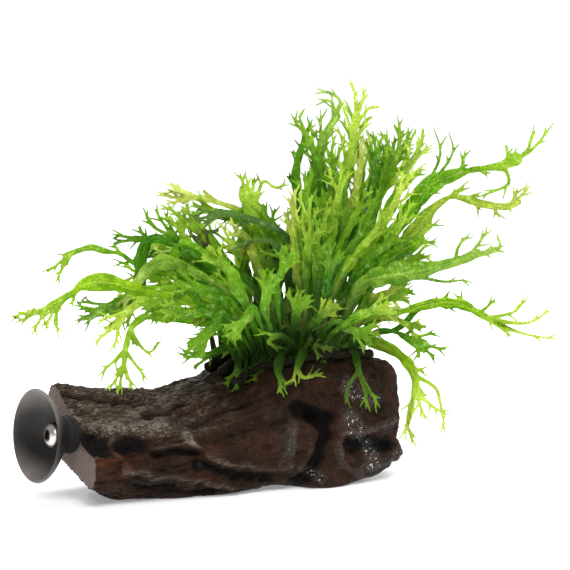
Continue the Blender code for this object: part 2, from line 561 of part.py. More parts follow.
def frond_mesh(sheet):
    """Return a closed thin solid: the outlines joined on the drawing, laid in the sheet and thickened."""
    points = []
    faces = []
    for outline in frond_ribbons(sheet):
        faces.append(list(range(len(points), len(points) + len(outline))))
        points.extend(Vector((float(p[0]), float(p[1]))) for p in outline)
    inside_only = 1
    verts, _, triangles, *_ = geometry.delaunay_2d_cdt(points, [], faces, inside_only, 1e-4)
    flat = bmesh.new()
    corners = [flat.verts.new((v.x, v.y, 0)) for v in verts]
    for triangle in triangles:
        flat.faces.new([corners[i] for i in triangle])
    bmesh.ops.delete(flat, geom=[v for v in flat.verts if not v.link_faces], context="VERTS")
    bmesh.ops.dissolve_faces(flat, faces=flat.faces, use_verts=False)
    loose = [v for v in flat.verts if len(v.link_edges) == 2 and v.calc_edge_angle(0) < ALMOST_STRAIGHT]
    bmesh.ops.dissolve_verts(flat, verts=loose)
    bmesh.ops.triangulate(flat, faces=flat.faces)
    places = {v: sheet.place(v.co.xy) for v in flat.verts}
    for vert, place in places.items():
        vert.co = place
    flat.normal_update()
    bmesh.ops.recalc_face_normals(flat, faces=flat.faces)
    bmesh.ops.solidify(flat, geom=flat.faces[:], thickness=BLADE_THICKNESS)
    return flat


def build_fronds():
    """Make the fronds in the order of the table."""
    for number, frond in enumerate(FRONDS, 1):
        add_piece(f"frond_{number:02d}", frond_mesh(Sheet(frond)), "frond", smooth_angle=30)


def main():
    """Build every piece."""
    clear_scene()
    build_driftwood()
    build_cup()
    build_screw()
    build_rhizomes()
    build_fronds()


main()
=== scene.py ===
"""The look of a crested java fern that grows on a chunk of driftwood with a suction cup."""
import logging
import math
from dataclasses import dataclass, field
from enum import Enum
from typing import Any, Iterable, Sequence

import bmesh
import bpy
import numpy as np
from mathutils import Matrix, Vector


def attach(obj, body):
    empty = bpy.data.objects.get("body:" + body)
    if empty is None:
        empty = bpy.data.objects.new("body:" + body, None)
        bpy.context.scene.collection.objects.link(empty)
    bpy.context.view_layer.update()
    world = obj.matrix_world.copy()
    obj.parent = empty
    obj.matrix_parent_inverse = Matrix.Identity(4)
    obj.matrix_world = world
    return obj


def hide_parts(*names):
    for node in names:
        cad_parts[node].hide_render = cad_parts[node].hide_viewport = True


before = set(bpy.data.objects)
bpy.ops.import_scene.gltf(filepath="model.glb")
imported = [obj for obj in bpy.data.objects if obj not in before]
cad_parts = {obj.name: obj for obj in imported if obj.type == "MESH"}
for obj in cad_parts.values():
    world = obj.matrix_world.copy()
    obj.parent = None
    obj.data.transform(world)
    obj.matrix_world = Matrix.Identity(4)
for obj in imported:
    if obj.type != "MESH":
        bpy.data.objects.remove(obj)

LOG = logging.getLogger("java_fern")
MM = 0.001
BODY = "root"
Point = tuple[float, ...]


# ---- shader building ----

class Wire:
    """An output socket that can be used in sums, like a number."""

    def __init__(self, paint: "Paint", socket: bpy.types.NodeSocket) -> None:
        """Wrap a socket of a paint."""
        self.paint = paint
        self.socket = socket

    def __add__(self, other: Any) -> "Wire":
        """Return self + other."""
        return self.paint.math("ADD", self, other)

    def __sub__(self, other: Any) -> "Wire":
        """Return self - other."""
        return self.paint.math("SUBTRACT", self, other)

    def __rsub__(self, other: Any) -> "Wire":
        """Return other - self."""
        return self.paint.math("SUBTRACT", other, self)

    def __mul__(self, other: Any) -> "Wire":
        """Return self * other."""
        return self.paint.math("MULTIPLY", self, other)

    __radd__ = __add__
    __rmul__ = __mul__

    def step(self, low: float, high: float) -> "Wire":
        """Return 0 below low and 1 above high, eased in between; low may be the larger."""
        return self.paint.node(
            "ShaderNodeMapRange", {"interpolation_type": "SMOOTHSTEP"},
            {"Value": self, "From Min": low, "From Max": high, "To Min": 0.0, "To Max": 1.0})


class Paint:
    """A node material that is being built."""

    def __init__(self, name: str) -> None:
        """Start an empty material.

        Args:
            name: the material's name.
        """
        self.material = bpy.data.materials.new(name)
        self.material.use_nodes = True
        self.tree = self.material.node_tree
        self.tree.nodes.clear()

    def node(self, kind: str, settings: dict[str, Any] | None = None,
             inputs: dict[str | int, Any] | None = None, out: str | int = 0) -> Wire:
        """Add a node.

        Args:
            kind: Blender's name of the node type.
            settings: properties set before the inputs.
            inputs: values or wires by socket name or number.
            out: the output that is returned.

        Returns:
            The node's output.
        """
        made = self.tree.nodes.new(kind)
        for key, value in (settings or {}).items():
            setattr(made, key, value)
        for key, value in (inputs or {}).items():
            socket = made.inputs[key]
            if isinstance(value, Wire):
                self.tree.links.new(value.socket, socket)
            else:
                socket.default_value = value
        return Wire(self, made.outputs[out]) if made.outputs else Wire(self, made.inputs[0])

    def math(self, operation: str, *values: Any) -> Wire:
        """Add a Math node on wires or numbers."""
        return self.node("ShaderNodeMath", {"operation": operation}, dict(enumerate(values)))

    def blend(self, share: Any, first: Any, second: Any) -> Wire:
        """Mix two colours.

        Args:
            share: how much of the second, 0 to 1.
            first: a colour or a wire.
            second: a colour or a wire.

        Returns:
            The mixed colour.
        """
        factor, a, b, mixed = 0, 6, 7, 2        # the numbers of the node's colour sockets
        pair = [c if isinstance(c, Wire) else (*c, 1) for c in (first, second)]
        return self.node("ShaderNodeMix", {"data_type": "RGBA"},
                         {factor: share, a: pair[0], b: pair[1]}, out=mixed)

    def layer(self, share: Any, under: Wire, over: Wire) -> Wire:
        """Mix two shaders, with so much of the second."""
        return self.node("ShaderNodeMixShader", None, {0: share, 1: under, 2: over})

    def place(self, scale: Point = (1, 1, 1)) -> Wire:
        """Return the place on the object, stretched."""
        spot = self.node("ShaderNodeTexCoord", out="Object")
        return self.node("ShaderNodeMapping", None, {"Vector": spot, "Scale": scale})

    def distance(self, spot: Wire, middle: Point) -> Wire:
        """Return how far a place is from a middle."""
        return self.node("ShaderNodeVectorMath", {"operation": "DISTANCE"},
                         {0: spot, 1: middle}, out="Value")

    def grain(self, vector: Wire, scale: float, detail: float = 3, rough: float = 0.5,
              bend: float = 0) -> Wire:
        """Return noise from 0 to 1 with so many cells a metre."""
        return self.node("ShaderNodeTexNoise", None,
                         {"Vector": vector, "Scale": scale, "Detail": detail, "Roughness": rough,
                          "Distortion": bend})

    def cells(self, vector: Wire, scale: float, feature: str = "F1") -> Wire:
        """Return the distance to the middle or the edge of irregular cells, so many a metre."""
        return self.node("ShaderNodeTexVoronoi", {"feature": feature},
                         {"Vector": vector, "Scale": scale}, out="Distance")

    def mark(self, name: str) -> Wire:
        """Return a number that the mesh carries at each of its points."""
        return self.node("ShaderNodeAttribute", {"attribute_name": name}, out="Fac")

    def bump(self, height: Wire, depth: float, strength: float = 1.0) -> Wire:
        """Return a normal that is bent by a height of so many metres."""
        return self.node("ShaderNodeBump", None,
                         {"Height": height, "Distance": depth, "Strength": strength})

    def surface(self, colour: Any, rough: Any, shine: float, normal: Wire,
                more: dict[str, Any] | None = None) -> Wire:
        """Add the main shader, with any more of its sockets by name."""
        return self.node("ShaderNodeBsdfPrincipled", None, {
            "Base Color": colour, "Roughness": rough, "Specular IOR Level": shine, "Normal": normal,
            **(more or {})})

    def finish(self, shader: Wire) -> bpy.types.Material:
        """Join a shader to the output and return the material."""
        self.node("ShaderNodeOutputMaterial", None, {"Surface": shader})
        return self.material


# ---- finishes ----

@dataclass(frozen=True)
class WoodFinish:
    """Soaked wood: near black where wet, and darker still with painted shade in its hollows and grooves;
    grey-brown where dry and fibrous, with painted light on its ridges and on the upward faces of its left
    half, and painted glints where it is glossy.
    """

    # deep: painted shade, the near black of the hollows and grooves
    deep: Point = (0.0022, 0.0013, 0.0010)
    wet: Point = (0.0190, 0.0086, 0.0040)
    red: Point = (0.062, 0.0205, 0.0085)
    dry: Point = (0.056, 0.038, 0.026)
    pale: Point = (0.215, 0.180, 0.145)
    sawn: Point = (0.300, 0.230, 0.205)
    rust: Point = (0.105, 0.027, 0.008)
    # spark: the colour of painted glints, its small bright specks
    spark: Point = (0.62, 0.60, 0.57)               # of its small bright specks
    rusted: Point = (-0.0370, -0.0222, 0.0205)      # the place that iron has stained, its x times 0.6

    def dress(self) -> bpy.types.Material:
        """Make the material."""
        p = Paint("driftwood_worn")
        where = p.place()
        # shade: painted light on the carvings' ridges and painted shade in their grooves; cave: the depth
        # that gets painted shade; dull: the dry upward faces of the left half, which also get painted light
        fibre, shade, cave = p.mark("fibre"), p.mark("shade"), p.mark("cave")
        dull, sawn, gloss = p.mark("dull"), p.mark("sawn"), p.mark("gloss")
        long = p.place(scale=(0.16, 1, 1))
        streak = p.grain(long, 620, 5, 0.66, 0.3)
        thread = p.grain(long, 1500, 4, 0.66)
        patch = p.grain(where, 70, 4, 0.55, 0.4)
        fine = p.grain(where, 1500, 3, 0.6)
        warm = (patch * 0.7 + streak * 0.5).step(0.50, 0.82)
        colour = p.blend(warm * 0.5, self.wet, self.red)
        # grey-brown where dry and fibrous, and also where painted light falls on ridges and on the upward
        # faces of the left half
        grey = shade * 0.80 + dull * 0.75 + (streak - 0.5) * (0.9 + dull * 1.3) + (fibre - 0.2) * 0.12
        colour = p.blend(grey.step(0.22, 1.1) * 0.9, colour, self.dry)
        # pale fibres, with a painted highlight on ridges and on the upward faces of the left half
        bright = shade * 0.62 + (thread - 0.5) * (1.3 + dull * 1.8) + dull * 0.50 + (fibre - 0.4) * 0.2
        colour = p.blend(bright.step(0.48, 1.05) * 0.90, colour, self.pale)
        rust = p.distance(p.place(scale=(0.6, 1, 1)), self.rusted).step(0.0095, 0.003)
        rust = rust * (streak * 0.7 + patch * 0.5).step(0.50, 0.70)
        colour = p.blend(rust * 0.7, colour, self.rust)
        # painted shade: near black deep in the hollows and grooves, less on the ridges
        hollow_shade = (cave * 0.38 - shade * 0.9 + 0.02 - (fine - 0.5) * 0.3).step(0.15, 1.2)
        colour = p.blend(hollow_shade * 0.95, colour, self.deep)
        ring = p.node("ShaderNodeTexWave", {"wave_type": "RINGS", "rings_direction": "X"},
                      {"Vector": where, "Scale": 150.0, "Distortion": 3.0, "Detail": 3.0,
                       "Detail Scale": 1.5}, out="Fac")
        face = p.blend(ring * 0.12 + thread * 0.4, self.sawn, self.dry)
        colour = p.blend(sawn, colour, face)
        pit = p.cells(where, 900.0)
        # painted glints: small bright specks where the wood is glossy
        painted_glints = p.grain(where, 900, 1, 0.5).step(0.640, 0.685) * (gloss + patch * 0.5).step(0.75, 1.25)
        colour = p.blend(painted_glints * 0.85, colour, self.spark)
        height = thread * 0.5 + fine * 0.35 + streak * 0.5 + pit * 0.25
        shine = (p.grain(where, 260, 3, 0.6) * 0.7 + patch * 0.3 + gloss * 0.3).step(0.50, 0.74)
        rough = 0.50 + dull * 0.12 + sawn * 0.2 - shine * 0.14
        body = p.surface(colour, rough, 0.11, p.bump(height, 0.0024))
        dents = p.grain(where, 760, 1, 0.5, 0.6)
        film = p.surface(colour, 0.09 + fine * 0.04, 0.75, p.bump(dents + streak * 0.3, 0.0016))
        share = shine * 0.26 + gloss.step(0.05, 0.9) * (0.12 + fine.step(0.50, 0.60) * 0.34)
        return p.finish(p.layer(share, body, film))


@dataclass(frozen=True)
class LeafFinish:
    """The wet skin of a frond: a green blade, a browner stalk and paler tips, with a painted sheen in pale
    patches and a painted shadow towards the middle of the clump.
    """

    name: str
    blade: Point
    dark: Point
    tip: Point
    glow: Point
    # sheen: the colour of the painted sheen, pale patches on the blade
    sheen: Point = (0.310, 0.510, 0.110)
    through: float = 0.38                           # share of light that comes through
    stalk: Point = (0.040, 0.036, 0.007)
    spot: Point = (0.085, 0.045, 0.012)             # brown spots
    shadow: Point = (0.012, 0.036, 0.002)           # deep in the clump
    core: Point = (0.027, -0.010, 0.053)            # the middle of the clump

    def dress(self) -> bpy.types.Material:
        """Make the material."""
        p = Paint(f"frond_{self.name}")
        where = p.place()
        grown, across, inset, tone = p.mark("grown"), p.mark("across"), p.mark("inset"), p.mark("tone")
        patch = p.grain(where, 190, 4, 0.6, 0.3)
        cell = p.cells(where, 620.0, "DISTANCE_TO_EDGE")
        vein = 1 - cell.step(0.0, 0.10)
        speck = p.grain(where, 1600, 2, 0.6)
        mottled = (patch * 1.4 + tone * 0.5 - 0.42 + (speck - 0.5) * 0.2).step(0.15, 0.72)
        strands = p.grain(p.node("ShaderNodeCombineXYZ", None, {
            "X": across * 1.5 + tone * 40, "Y": grown * 7, "Z": tone * 9}), 1.4, 3, 0.6)
        mottled = (mottled * 0.6 + strands.step(0.36, 0.62) * 0.8 - 0.17).step(0.05, 1.0)
        colour = p.blend(mottled, self.dark, self.blade)
        young = (grown * 0.9 + (patch - 0.5) * 0.5 + (tone - 0.5) * 0.3).step(0.55, 1.1)
        colour = p.blend(young, colour, self.tip)
        rib = (1 - p.math("ABSOLUTE", across).step(0.0, 0.16)) * inset.step(0.3, 1.0)
        colour = p.blend(rib * 0.45, colour, self.tip)
        colour = p.blend(vein * 0.16 * inset.step(0.3, 1.0), colour, self.dark)
        # painted sheen: pale patches on the blade
        sheen = p.grain(p.place(scale=(1, 1, 0.5)), 300, 3, 0.55, 0.6).step(0.55, 0.72) * inset.step(0.3, 1.0)
        colour = p.blend(sheen * 0.4, colour, self.sheen)
        stalk = 1 - grown.step(0.05, 0.30)
        colour = p.blend(stalk * 0.85, colour, self.stalk)
        # painted shadow: darker towards the middle of the clump
        core = p.distance(where, self.core).step(0.056, 0.024)
        colour = p.blend(core * 0.87, colour, self.shadow)
        brown = p.grain(where, 120, 3, 0.6).step(0.70, 0.76) * (speck.step(0.3, 0.5))
        colour = p.blend(brown * 0.6, colour, self.spot)
        ripple = p.grain(where, 420, 3, 0.6, 0.5)
        height = vein * -0.2 + speck * 0.06 + patch * 0.6 + ripple * 0.5
        wet = p.grain(where, 360, 2, 0.5).step(0.54, 0.66) * inset.step(0.05, 0.5)
        skin = p.surface(colour, 0.46 + patch * 0.2, 0.12, p.bump(height, 0.0012))
        light = p.node("ShaderNodeBsdfTranslucent", None, {"Color": (*self.glow, 1)})
        leaf = p.layer(self.through * (0.6 + patch * 0.8) * (1 - core * 0.8), skin, light)
        film = p.surface(colour, 0.20 + speck * 0.05, 0.6, p.bump(ripple, 0.0009))
        return p.finish(p.layer(wet * (1 - core * 0.7) * 0.6, leaf, film))


LEAVES = {
    "young": LeafFinish("young", (0.330, 0.565, 0.016), (0.105, 0.285, 0.004), (0.600, 0.745, 0.110),
                        (0.60, 0.80, 0.060)),
    "mature": LeafFinish("mature", (0.165, 0.415, 0.006), (0.029, 0.152, 0.001), (0.430, 0.610, 0.055),
                         (0.40, 0.68, 0.022)),
    "deep": LeafFinish("deep", (0.058, 0.232, 0.003), (0.010, 0.066, 0.001), (0.220, 0.445, 0.022),
                       (0.17, 0.45, 0.008)),
    "old": LeafFinish("old", (0.055, 0.145, 0.028), (0.012, 0.050, 0.009), (0.130, 0.260, 0.050),
                      (0.100, 0.24, 0.036)),
    "yellow": LeafFinish("yellow", (0.450, 0.575, 0.050), (0.170, 0.335, 0.020), (0.660, 0.725, 0.170),
                         (0.66, 0.76, 0.120), (0.620, 0.720, 0.300)),
    "pale": LeafFinish("pale", (0.300, 0.520, 0.050), (0.120, 0.305, 0.016), (0.520, 0.670, 0.150),
                       (0.48, 0.70, 0.100), (0.520, 0.700, 0.260)),
    "dead": LeafFinish("dead", (0.110, 0.075, 0.030), (0.040, 0.030, 0.014), (0.180, 0.200, 0.040),
                       (0.12, 0.10, 0.02), (0.200, 0.170, 0.080)),
}


@dataclass(frozen=True)
class RubberFinish:
    """Matte black rubber with dust on its dish, which grows paler towards the rim, partly the rubber's own
    paleness and partly a painted highlight, most at the top and bottom.
    """

    base: Point = (0.0042, 0.0032, 0.0027)
    # a pale bloom, partly a painted highlight towards the rim
    bloom_and_highlight: Point = (0.210, 0.186, 0.172)
    dust: Point = (0.20, 0.19, 0.18)
    middle: Point = (-0.0836, -0.0008, 0.0285)      # of the dish, half as wide as it is high

    def dress(self) -> bpy.types.Material:
        """Make the material."""
        p = Paint("rubber")
        where = p.place()
        cloud = p.grain(where, 90, 4, 0.6)
        grit = p.grain(where, 3000, 2, 0.6)
        off = p.distance(p.place(scale=(1, 0.5, 1)), self.middle)
        dish = p.node("ShaderNodeSeparateXYZ", None, {0: where}, out="X").step(-0.0770, -0.0815)
        # pale towards the rim, most at its top and bottom: bloom, and a painted highlight
        edge = off.step(0.008, 0.0195)
        colour = p.blend(edge * (0.25 + cloud * 0.9) * dish, self.base, self.bloom_and_highlight)
        dust = grit.step(0.66, 0.74) * cloud.step(0.35, 0.65) * dish
        colour = p.blend(dust * 0.6, colour, self.dust)
        rough = 0.62 - dish * 0.26 + cloud * 0.14
        return p.finish(p.surface(colour, rough, 0.26, p.bump(grit * 0.4 + cloud, 0.00025, 0.5)))


@dataclass(frozen=True)
class SteelFinish:
    """Polished stainless steel with fine turning marks."""

    base: Point = (0.66, 0.63, 0.59)
    dull: Point = (0.40, 0.37, 0.33)
    dirt: Point = (0.045, 0.022, 0.014)
    recess: Point = (-0.0820, -0.0013, 0.0289)      # its bottom, which holds rust and dirt

    def dress(self) -> bpy.types.Material:
        """Make the material."""
        p = Paint("steel")
        where = p.place()
        fine = p.grain(where, 2500, 3, 0.6)
        stain = p.grain(where, 500, 3, 0.5)
        colour = p.blend(stain.step(0.5, 0.8) * 0.5, self.base, self.dull)
        deep = p.distance(where, self.recess).step(0.0030, 0.0022)
        colour = p.blend(deep * 0.92, colour, self.dirt)
        bump = p.bump(fine, 0.0001, 0.4)
        return p.finish(p.surface(colour, 0.20 + fine * 0.2, 0.5, bump, {"Metallic": 1.0}))


@dataclass(frozen=True)
class RhizomeFinish:
    """The scaly skin of a creeping stem, and of the roots when dark."""

    name: str
    green: Point
    brown: Point
    crack: Point = (0.012, 0.008, 0.004)            # between its scales

    def dress(self) -> bpy.types.Material:
        """Make the material."""
        p = Paint(self.name)
        where = p.place()
        patch = p.grain(where, 230, 4, 0.6, 0.3)
        scale = p.cells(p.place(scale=(0.5, 1, 1)), 1100.0)
        colour = p.blend(patch.step(0.35, 0.65), self.green, self.brown)
        colour = p.blend(scale.step(0.3, 0.9) * 0.6, colour, self.crack)
        bump = p.bump(scale * 0.8 + patch, 0.0005, 0.7)
        return p.finish(p.surface(colour, 0.55 + patch * 0.25, 0.1, bump))


@dataclass(frozen=True)
class FloorFinish:
    """Matte white paper that glows with painted light, strongly away from the plant and weakly close to it.
    """

    def dress(self) -> bpy.types.Material:
        """Make the material."""
        p = Paint("paper")
        where = p.place()
        tooth = p.grain(where, 900, 3, 0.6)
        colour = p.blend(tooth, (0.80, 0.80, 0.80), (0.84, 0.84, 0.84))
        # painted light: the paper glows, less close to the plant
        far = p.node("ShaderNodeVectorMath", {"operation": "LENGTH"}, {0: where}, out="Value")
        glow = p.blend(far.step(0.1, 0.6), (0.26, 0.26, 0.26), (0.85, 0.85, 0.85))
        return p.finish(p.surface(colour, 0.95, 0.1, p.bump(tooth, 0.00005, 0.2),
                                  {"Emission Color": glow, "Emission Strength": 1.0}))


# ---- lines and fields ----

def smooth_line(points: Sequence[Point], count: int, closed: bool = False) -> np.ndarray:
    """Lay evenly spaced points along a smooth curve.

    Args:
        points: the points that the curve goes through.
        count: how many points to return.
        closed: whether the curve comes back to its start.

    Returns:
        The points, one a row.
    """
    pts = [np.array(p, float) for p in points]
    if closed:
        pts = [pts[-1], *pts, pts[0], pts[1]]
    else:
        pts = [2 * pts[0] - pts[1], *pts, 2 * pts[-1] - pts[-2]]
    t = np.arange(16)[:, None] / 16
    fine = []
    for a, b, c, d in zip(pts, pts[1:], pts[2:], pts[3:]):
        fine.append(0.5 * (2 * b + (c - a) * t + (2 * a - 5 * b + 4 * c - d) * t * t
                           + (3 * b - 3 * c + d - a) * t ** 3))
    line = np.concatenate([*fine, pts[-2][None]])
    length = np.concatenate([[0], np.cumsum(np.linalg.norm(np.diff(line, axis=0), axis=1))])
    wanted = np.linspace(0, length[-1], count + 1 if closed else count)
    line = np.stack([np.interp(wanted, length, line[:, i]) for i in range(line.shape[1])], axis=1)
    return line[:-1] if closed else line


def eased(value: Any, low: float, high: float) -> Any:
    """Return 0 below low and 1 above high, eased in between; low may be the larger."""
    t = np.clip((value - low) / (high - low), 0, 1)
    return t * t * (3 - 2 * t)


def mesh_piece(name: str, verts: Iterable, faces: Iterable, material: bpy.types.Material,
               marks: dict[str, np.ndarray] | None = None, sharp: float = 180) -> bpy.types.Object:
    """Make an object from points in metres.

    Args:
        name: the piece's name.
        verts: its points.
        faces: its faces, as point numbers.
        material: its finish.
        marks: numbers for each point that the finish reads, by name.
        sharp: edges that bend more than this many degrees are shaded sharp.

    Returns:
        The object, linked to the scene.
    """
    mesh = bpy.data.meshes.new(name)
    mesh.from_pydata([tuple(v) for v in verts], [], [tuple(f) for f in faces])
    mesh.validate()
    mesh.shade_smooth()
    if sharp < 180:
        mesh.set_sharp_from_angle(angle=math.radians(sharp))
    for key, values in (marks or {}).items():
        mark = mesh.attributes.new(key, "FLOAT", "POINT")
        mark.data.foreach_set("value", np.asarray(values, np.float32))
    mesh.materials.append(material)
    piece = bpy.data.objects.new(name, mesh)
    bpy.context.scene.collection.objects.link(piece)
    return piece


def outward(piece: bpy.types.Object) -> None:
    """Join a closed piece's points that lie on each other, and turn every face outward."""
    bm = bmesh.new()
    bm.from_mesh(piece.data)
    bmesh.ops.remove_doubles(bm, verts=bm.verts, dist=1e-7)
    bmesh.ops.recalc_face_normals(bm, faces=bm.faces)
    bm.to_mesh(piece.data)
    bm.free()


def place_in_frame(piece: bpy.types.Object, slot: str, *nodes: str) -> bpy.types.Object:
    """Let a piece ride on the body and stand for the CAD nodes, which it hides."""
    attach(piece, BODY)
    if nodes:
        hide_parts(*nodes)
    LOG.info("%s: %d faces", piece.name, len(piece.data.polygons))
    return piece


def tube(line: np.ndarray, radii: np.ndarray, sides: int) -> tuple[list, list]:
    """Make a closed tube along a line.

    Args:
        line: its middle, one point a row.
        radii: its radius at each point.
        sides: how many sides it has.

    Returns:
        Its points and its faces.
    """
    heading = np.gradient(line, axis=0)
    heading /= np.linalg.norm(heading, axis=1)[:, None]
    guide = np.array([0.31, 0.17, 0.93])
    across = np.cross(heading, guide)
    across /= np.linalg.norm(across, axis=1)[:, None]
    upward = np.cross(across, heading)
    turns = np.arange(sides) * 2 * math.pi / sides
    ring = (np.cos(turns)[None, :, None] * across[:, None] + np.sin(turns)[None, :, None] * upward[:, None])
    verts = (line[:, None] + ring * radii[:, None, None]).reshape(-1, 3)
    faces = []
    for i in range(len(line) - 1):
        for j in range(sides):
            a, b = i * sides + j, i * sides + (j + 1) % sides
            faces.append((a, b, b + sides, a + sides))
    last = (len(line) - 1) * sides
    faces += [tuple(range(sides))[::-1], tuple(range(last, last + sides))]
    return list(verts), faces


class Bundle:
    """Many small shapes that are gathered into one mesh."""

    def __init__(self) -> None:
        """Start empty."""
        self.verts: list = []
        self.faces: list = []
        self.marks: dict[str, list] = {}

    def add(self, verts: Sequence, faces: Sequence, **marks: Any) -> None:
        """Add a shape, with a number or one number a point for each mark."""
        start = len(self.verts)
        self.verts.extend(verts)
        self.faces.extend(tuple(i + start for i in f) for f in faces)
        for key, value in marks.items():
            self.marks.setdefault(key, []).extend(np.broadcast_to(value, len(verts)))


WOOD_SECTIONS = {
    -70: ((-13, 7.4), (-20, 10), (-21, 18), (-19, 23), (-8, 28), (3, 33),
          (10, 41), (18, 46.3), (27, 43), (30, 32), (24, 20), (8, 13.5)),
    -50: ((-2, -1), (-14, 4), (-21, 14), (-21, 22), (-16, 30), (0, 35),
          (12, 40.5), (21, 41.5), (28, 36), (29, 20), (22, 4), (8, -1)),
    -28: ((-12, -1), (-19, 5), (-23, 14), (-22, 24), (-17, 31), (-2, 37),
          (11, 40.5), (20, 40), (27, 33), (28, 18), (21, 2), (4, -1)),
    -10: ((-17, 0), (-23, 7), (-25, 17), (-24, 28), (-20, 36), (-8, 41),
          (8, 44), (19, 43), (26, 35), (27, 18), (21, 2), (2, -1)),
    12: ((-20, 2.5), (-25, 9), (-27, 19), (-26, 31), (-22, 43), (-11, 50),
         (6, 51.7), (18, 49.5), (25, 39), (26, 20), (21, 2), (4, -1)),
    36: ((-26, -1), (-29, 6), (-28, 19), (-26, 33), (-23, 45), (-12, 51),
         (5, 52), (17, 49), (24, 38), (25, 20), (19, 2), (-2, -1)),
    58: ((-24, 2), (-28, 8), (-27, 20), (-26, 34), (-23, 46), (-12, 50.5),
         (5, 51), (17, 47.5), (23, 37), (23, 20), (18, 5), (-3, 1)),
    71: ((-18, 7), (-22.5, 11), (-23, 21), (-23, 34), (-21, 46), (-12, 49.5),
         (4, 48.5), (15, 45.5), (20, 36), (20, 21), (15, 9), (-2, 6)),
}


# ---- driftwood ----

class Lumps:
    """Smooth noise from -1 to 1 at many points at once."""

    def __init__(self, seed: int) -> None:
        """Draw the table of slopes."""
        chance = np.random.default_rng(seed)
        self.order = np.tile(chance.permutation(256), 2)
        slopes = chance.normal(size=(256, 3))
        self.slopes = slopes / np.linalg.norm(slopes, axis=1)[:, None]

    def at(self, points: np.ndarray) -> np.ndarray:
        """Return the noise at points that are one cell apart at a distance of 1."""
        cell = np.floor(points).astype(int)
        part = points - cell
        ease = part ** 3 * (part * (part * 6 - 15) + 10)
        total = np.zeros(len(points))
        for corner in ((x, y, z) for x in (0, 1) for y in (0, 1) for z in (0, 1)):
            at = (cell + corner) & 255
            slope = self.slopes[self.order[self.order[self.order[at[:, 0]] + at[:, 1]] + at[:, 2]]]
            weight = np.prod(np.where(np.array(corner) == 1, ease, 1 - ease), axis=1)
            total += weight * ((part - corner) * slope).sum(1)
        return total * 1.5

    def rough(self, points: np.ndarray, octaves: int, keep: float = 0.5) -> np.ndarray:
        """Return several sizes of noise, each twice as fine and keep times as high."""
        return sum(keep ** i * self.at(points * 2 ** i + 17.3 * i) for i in range(octaves))


@dataclass(frozen=True)
class Carving:
    """A groove or a ridge on the side of the wood that is drawn, along a line in mm."""

    line: tuple
    width: float                # mm, to where it has faded
    height: float               # mm, negative for a groove
    # painted light: how much paler a ridge is painted, and when negative how much darker a groove is with
    # painted shade
    shade: float = 0.0          # how much paler, or darker when negative
    # how much wetter and glossier, and where painted glints gather
    gloss: float = 0.0          # how much wetter


# the fourth number of each carving is painted light on ridges, negative for painted shade in grooves; the
# fifth makes it wetter and gathers painted glints
CARVINGS = (
    # the slope over the left half, paler with painted light, its edge, and the recess below it, darker with
    # painted shade
    Carving(((-92, -54), (-84, -59), (-76, -60.5), (-63, -61.5), (-50, -60)), 3.2, 1.7, 0.5),
    Carving(((-84, -66), (-74, -68), (-62, -67)), 8, -3.0, -0.8),
    Carving(((-74, -62), (-72, -69), (-66, -76)), 2.4, 1.5, 0.5),
    Carving(((-93, -46), (-80, -48), (-66, -50), (-52, -52)), 2.2, -0.8, -0.4),
    Carving(((-66, -55), (-58, -53), (-50, -48), (-44, -45)), 3, 1.4, 0.4),
    Carving(((-60, -56), (-50, -54.5), (-43, -50)), 2, -1.1, -0.7),
    # the crevice and the ridge that runs down to the right
    Carving(((-56, -71.5), (-46, -71), (-36, -70.5)), 2.2, -2.8, -1.2),
    Carving(((-57, -69), (-48, -68.5), (-40, -67)), 1.4, 0.8, 0.6),
    Carving(((-42, -64), (-36, -69.5), (-28, -74), (-15, -76), (-4, -77.5), (3, -76)), 3.2, 2.1, 0.9),
    Carving(((-36, -76), (-24, -79.5), (-8, -82)), 4.4, -2.0, -0.8),
    Carving(((-68, -78), (-52, -80), (-38, -82), (-22, -84)), 3.6, 1.6, 0.9),
    Carving(((-66, -84), (-50, -86), (-30, -88)), 2.4, -1.3, -0.7),
    # the hollow, dark with painted shade, and the crease that runs down from it
    Carving(((6, -51.5), (10, -54), (15, -55.5), (18, -56)), 5, -4.8, -1.2),
    Carving(((13, -56), (17, -62), (15, -70), (11, -78), (4, -84)), 4.2, -3.8, -1.1),
    Carving(((4, -60), (3, -68), (1, -75)), 5, 1.4, 0.1, 0.4),
    # the boss on the right: its ridge, pale with painted light, the oval hollow, dark with painted shade, and
    # its lip
    Carving(((24, -62), (34, -61), (45, -56.5)), 4, 2.2, 0.55, 0.5),
    Carving(((29, -68), (35, -67), (43, -67.5)), 5.5, -3.6, -1.0),
    Carving(((22, -66), (23, -74), (30, -78), (40, -76), (47, -70)), 3.6, 2.0, 0.3, 0.6),
    Carving(((46, -66), (49, -70), (48, -74)), 3.4, 2.2, -0.2, 0.4),
    Carving(((32, -50), (38, -54), (44, -50)), 4, -0.9, -0.3),
    # where the wet wood is glossier, with painted glints
    Carving(((27, -43), (36, -48)), 6, 0.3, 0, 1.3),
    Carving(((27, -56), (31, -62)), 6, 0.3, 0, 1.3),
    Carving(((35, -67), (36, -74)), 5, 0.2, 0, 1.0),
    Carving(((8, -78), (14, -81)), 4, 0.2, 0, 1.0),
    Carving(((-8, -54), (2, -60), (0, -70)), 6, 0.2, 0, 0.35),
    # long shallow furrows over the middle
    Carving(((-40, -60), (-24, -53), (-8, -47), (5, -43)), 2.2, -0.9, -0.45),
    Carving(((-36, -63), (-20, -57), (-2, -50)), 2.6, 0.8, 0.35),
    Carving(((-48, -57), (-30, -49), (-14, -42)), 2, -0.8, -0.35),
    Carving(((-30, -66), (-14, -60), (0, -56)), 2, -0.8, -0.4),
    Carving(((-26, -70), (-12, -66), (-2, -64)), 2.6, 0.7, 0.25),
)


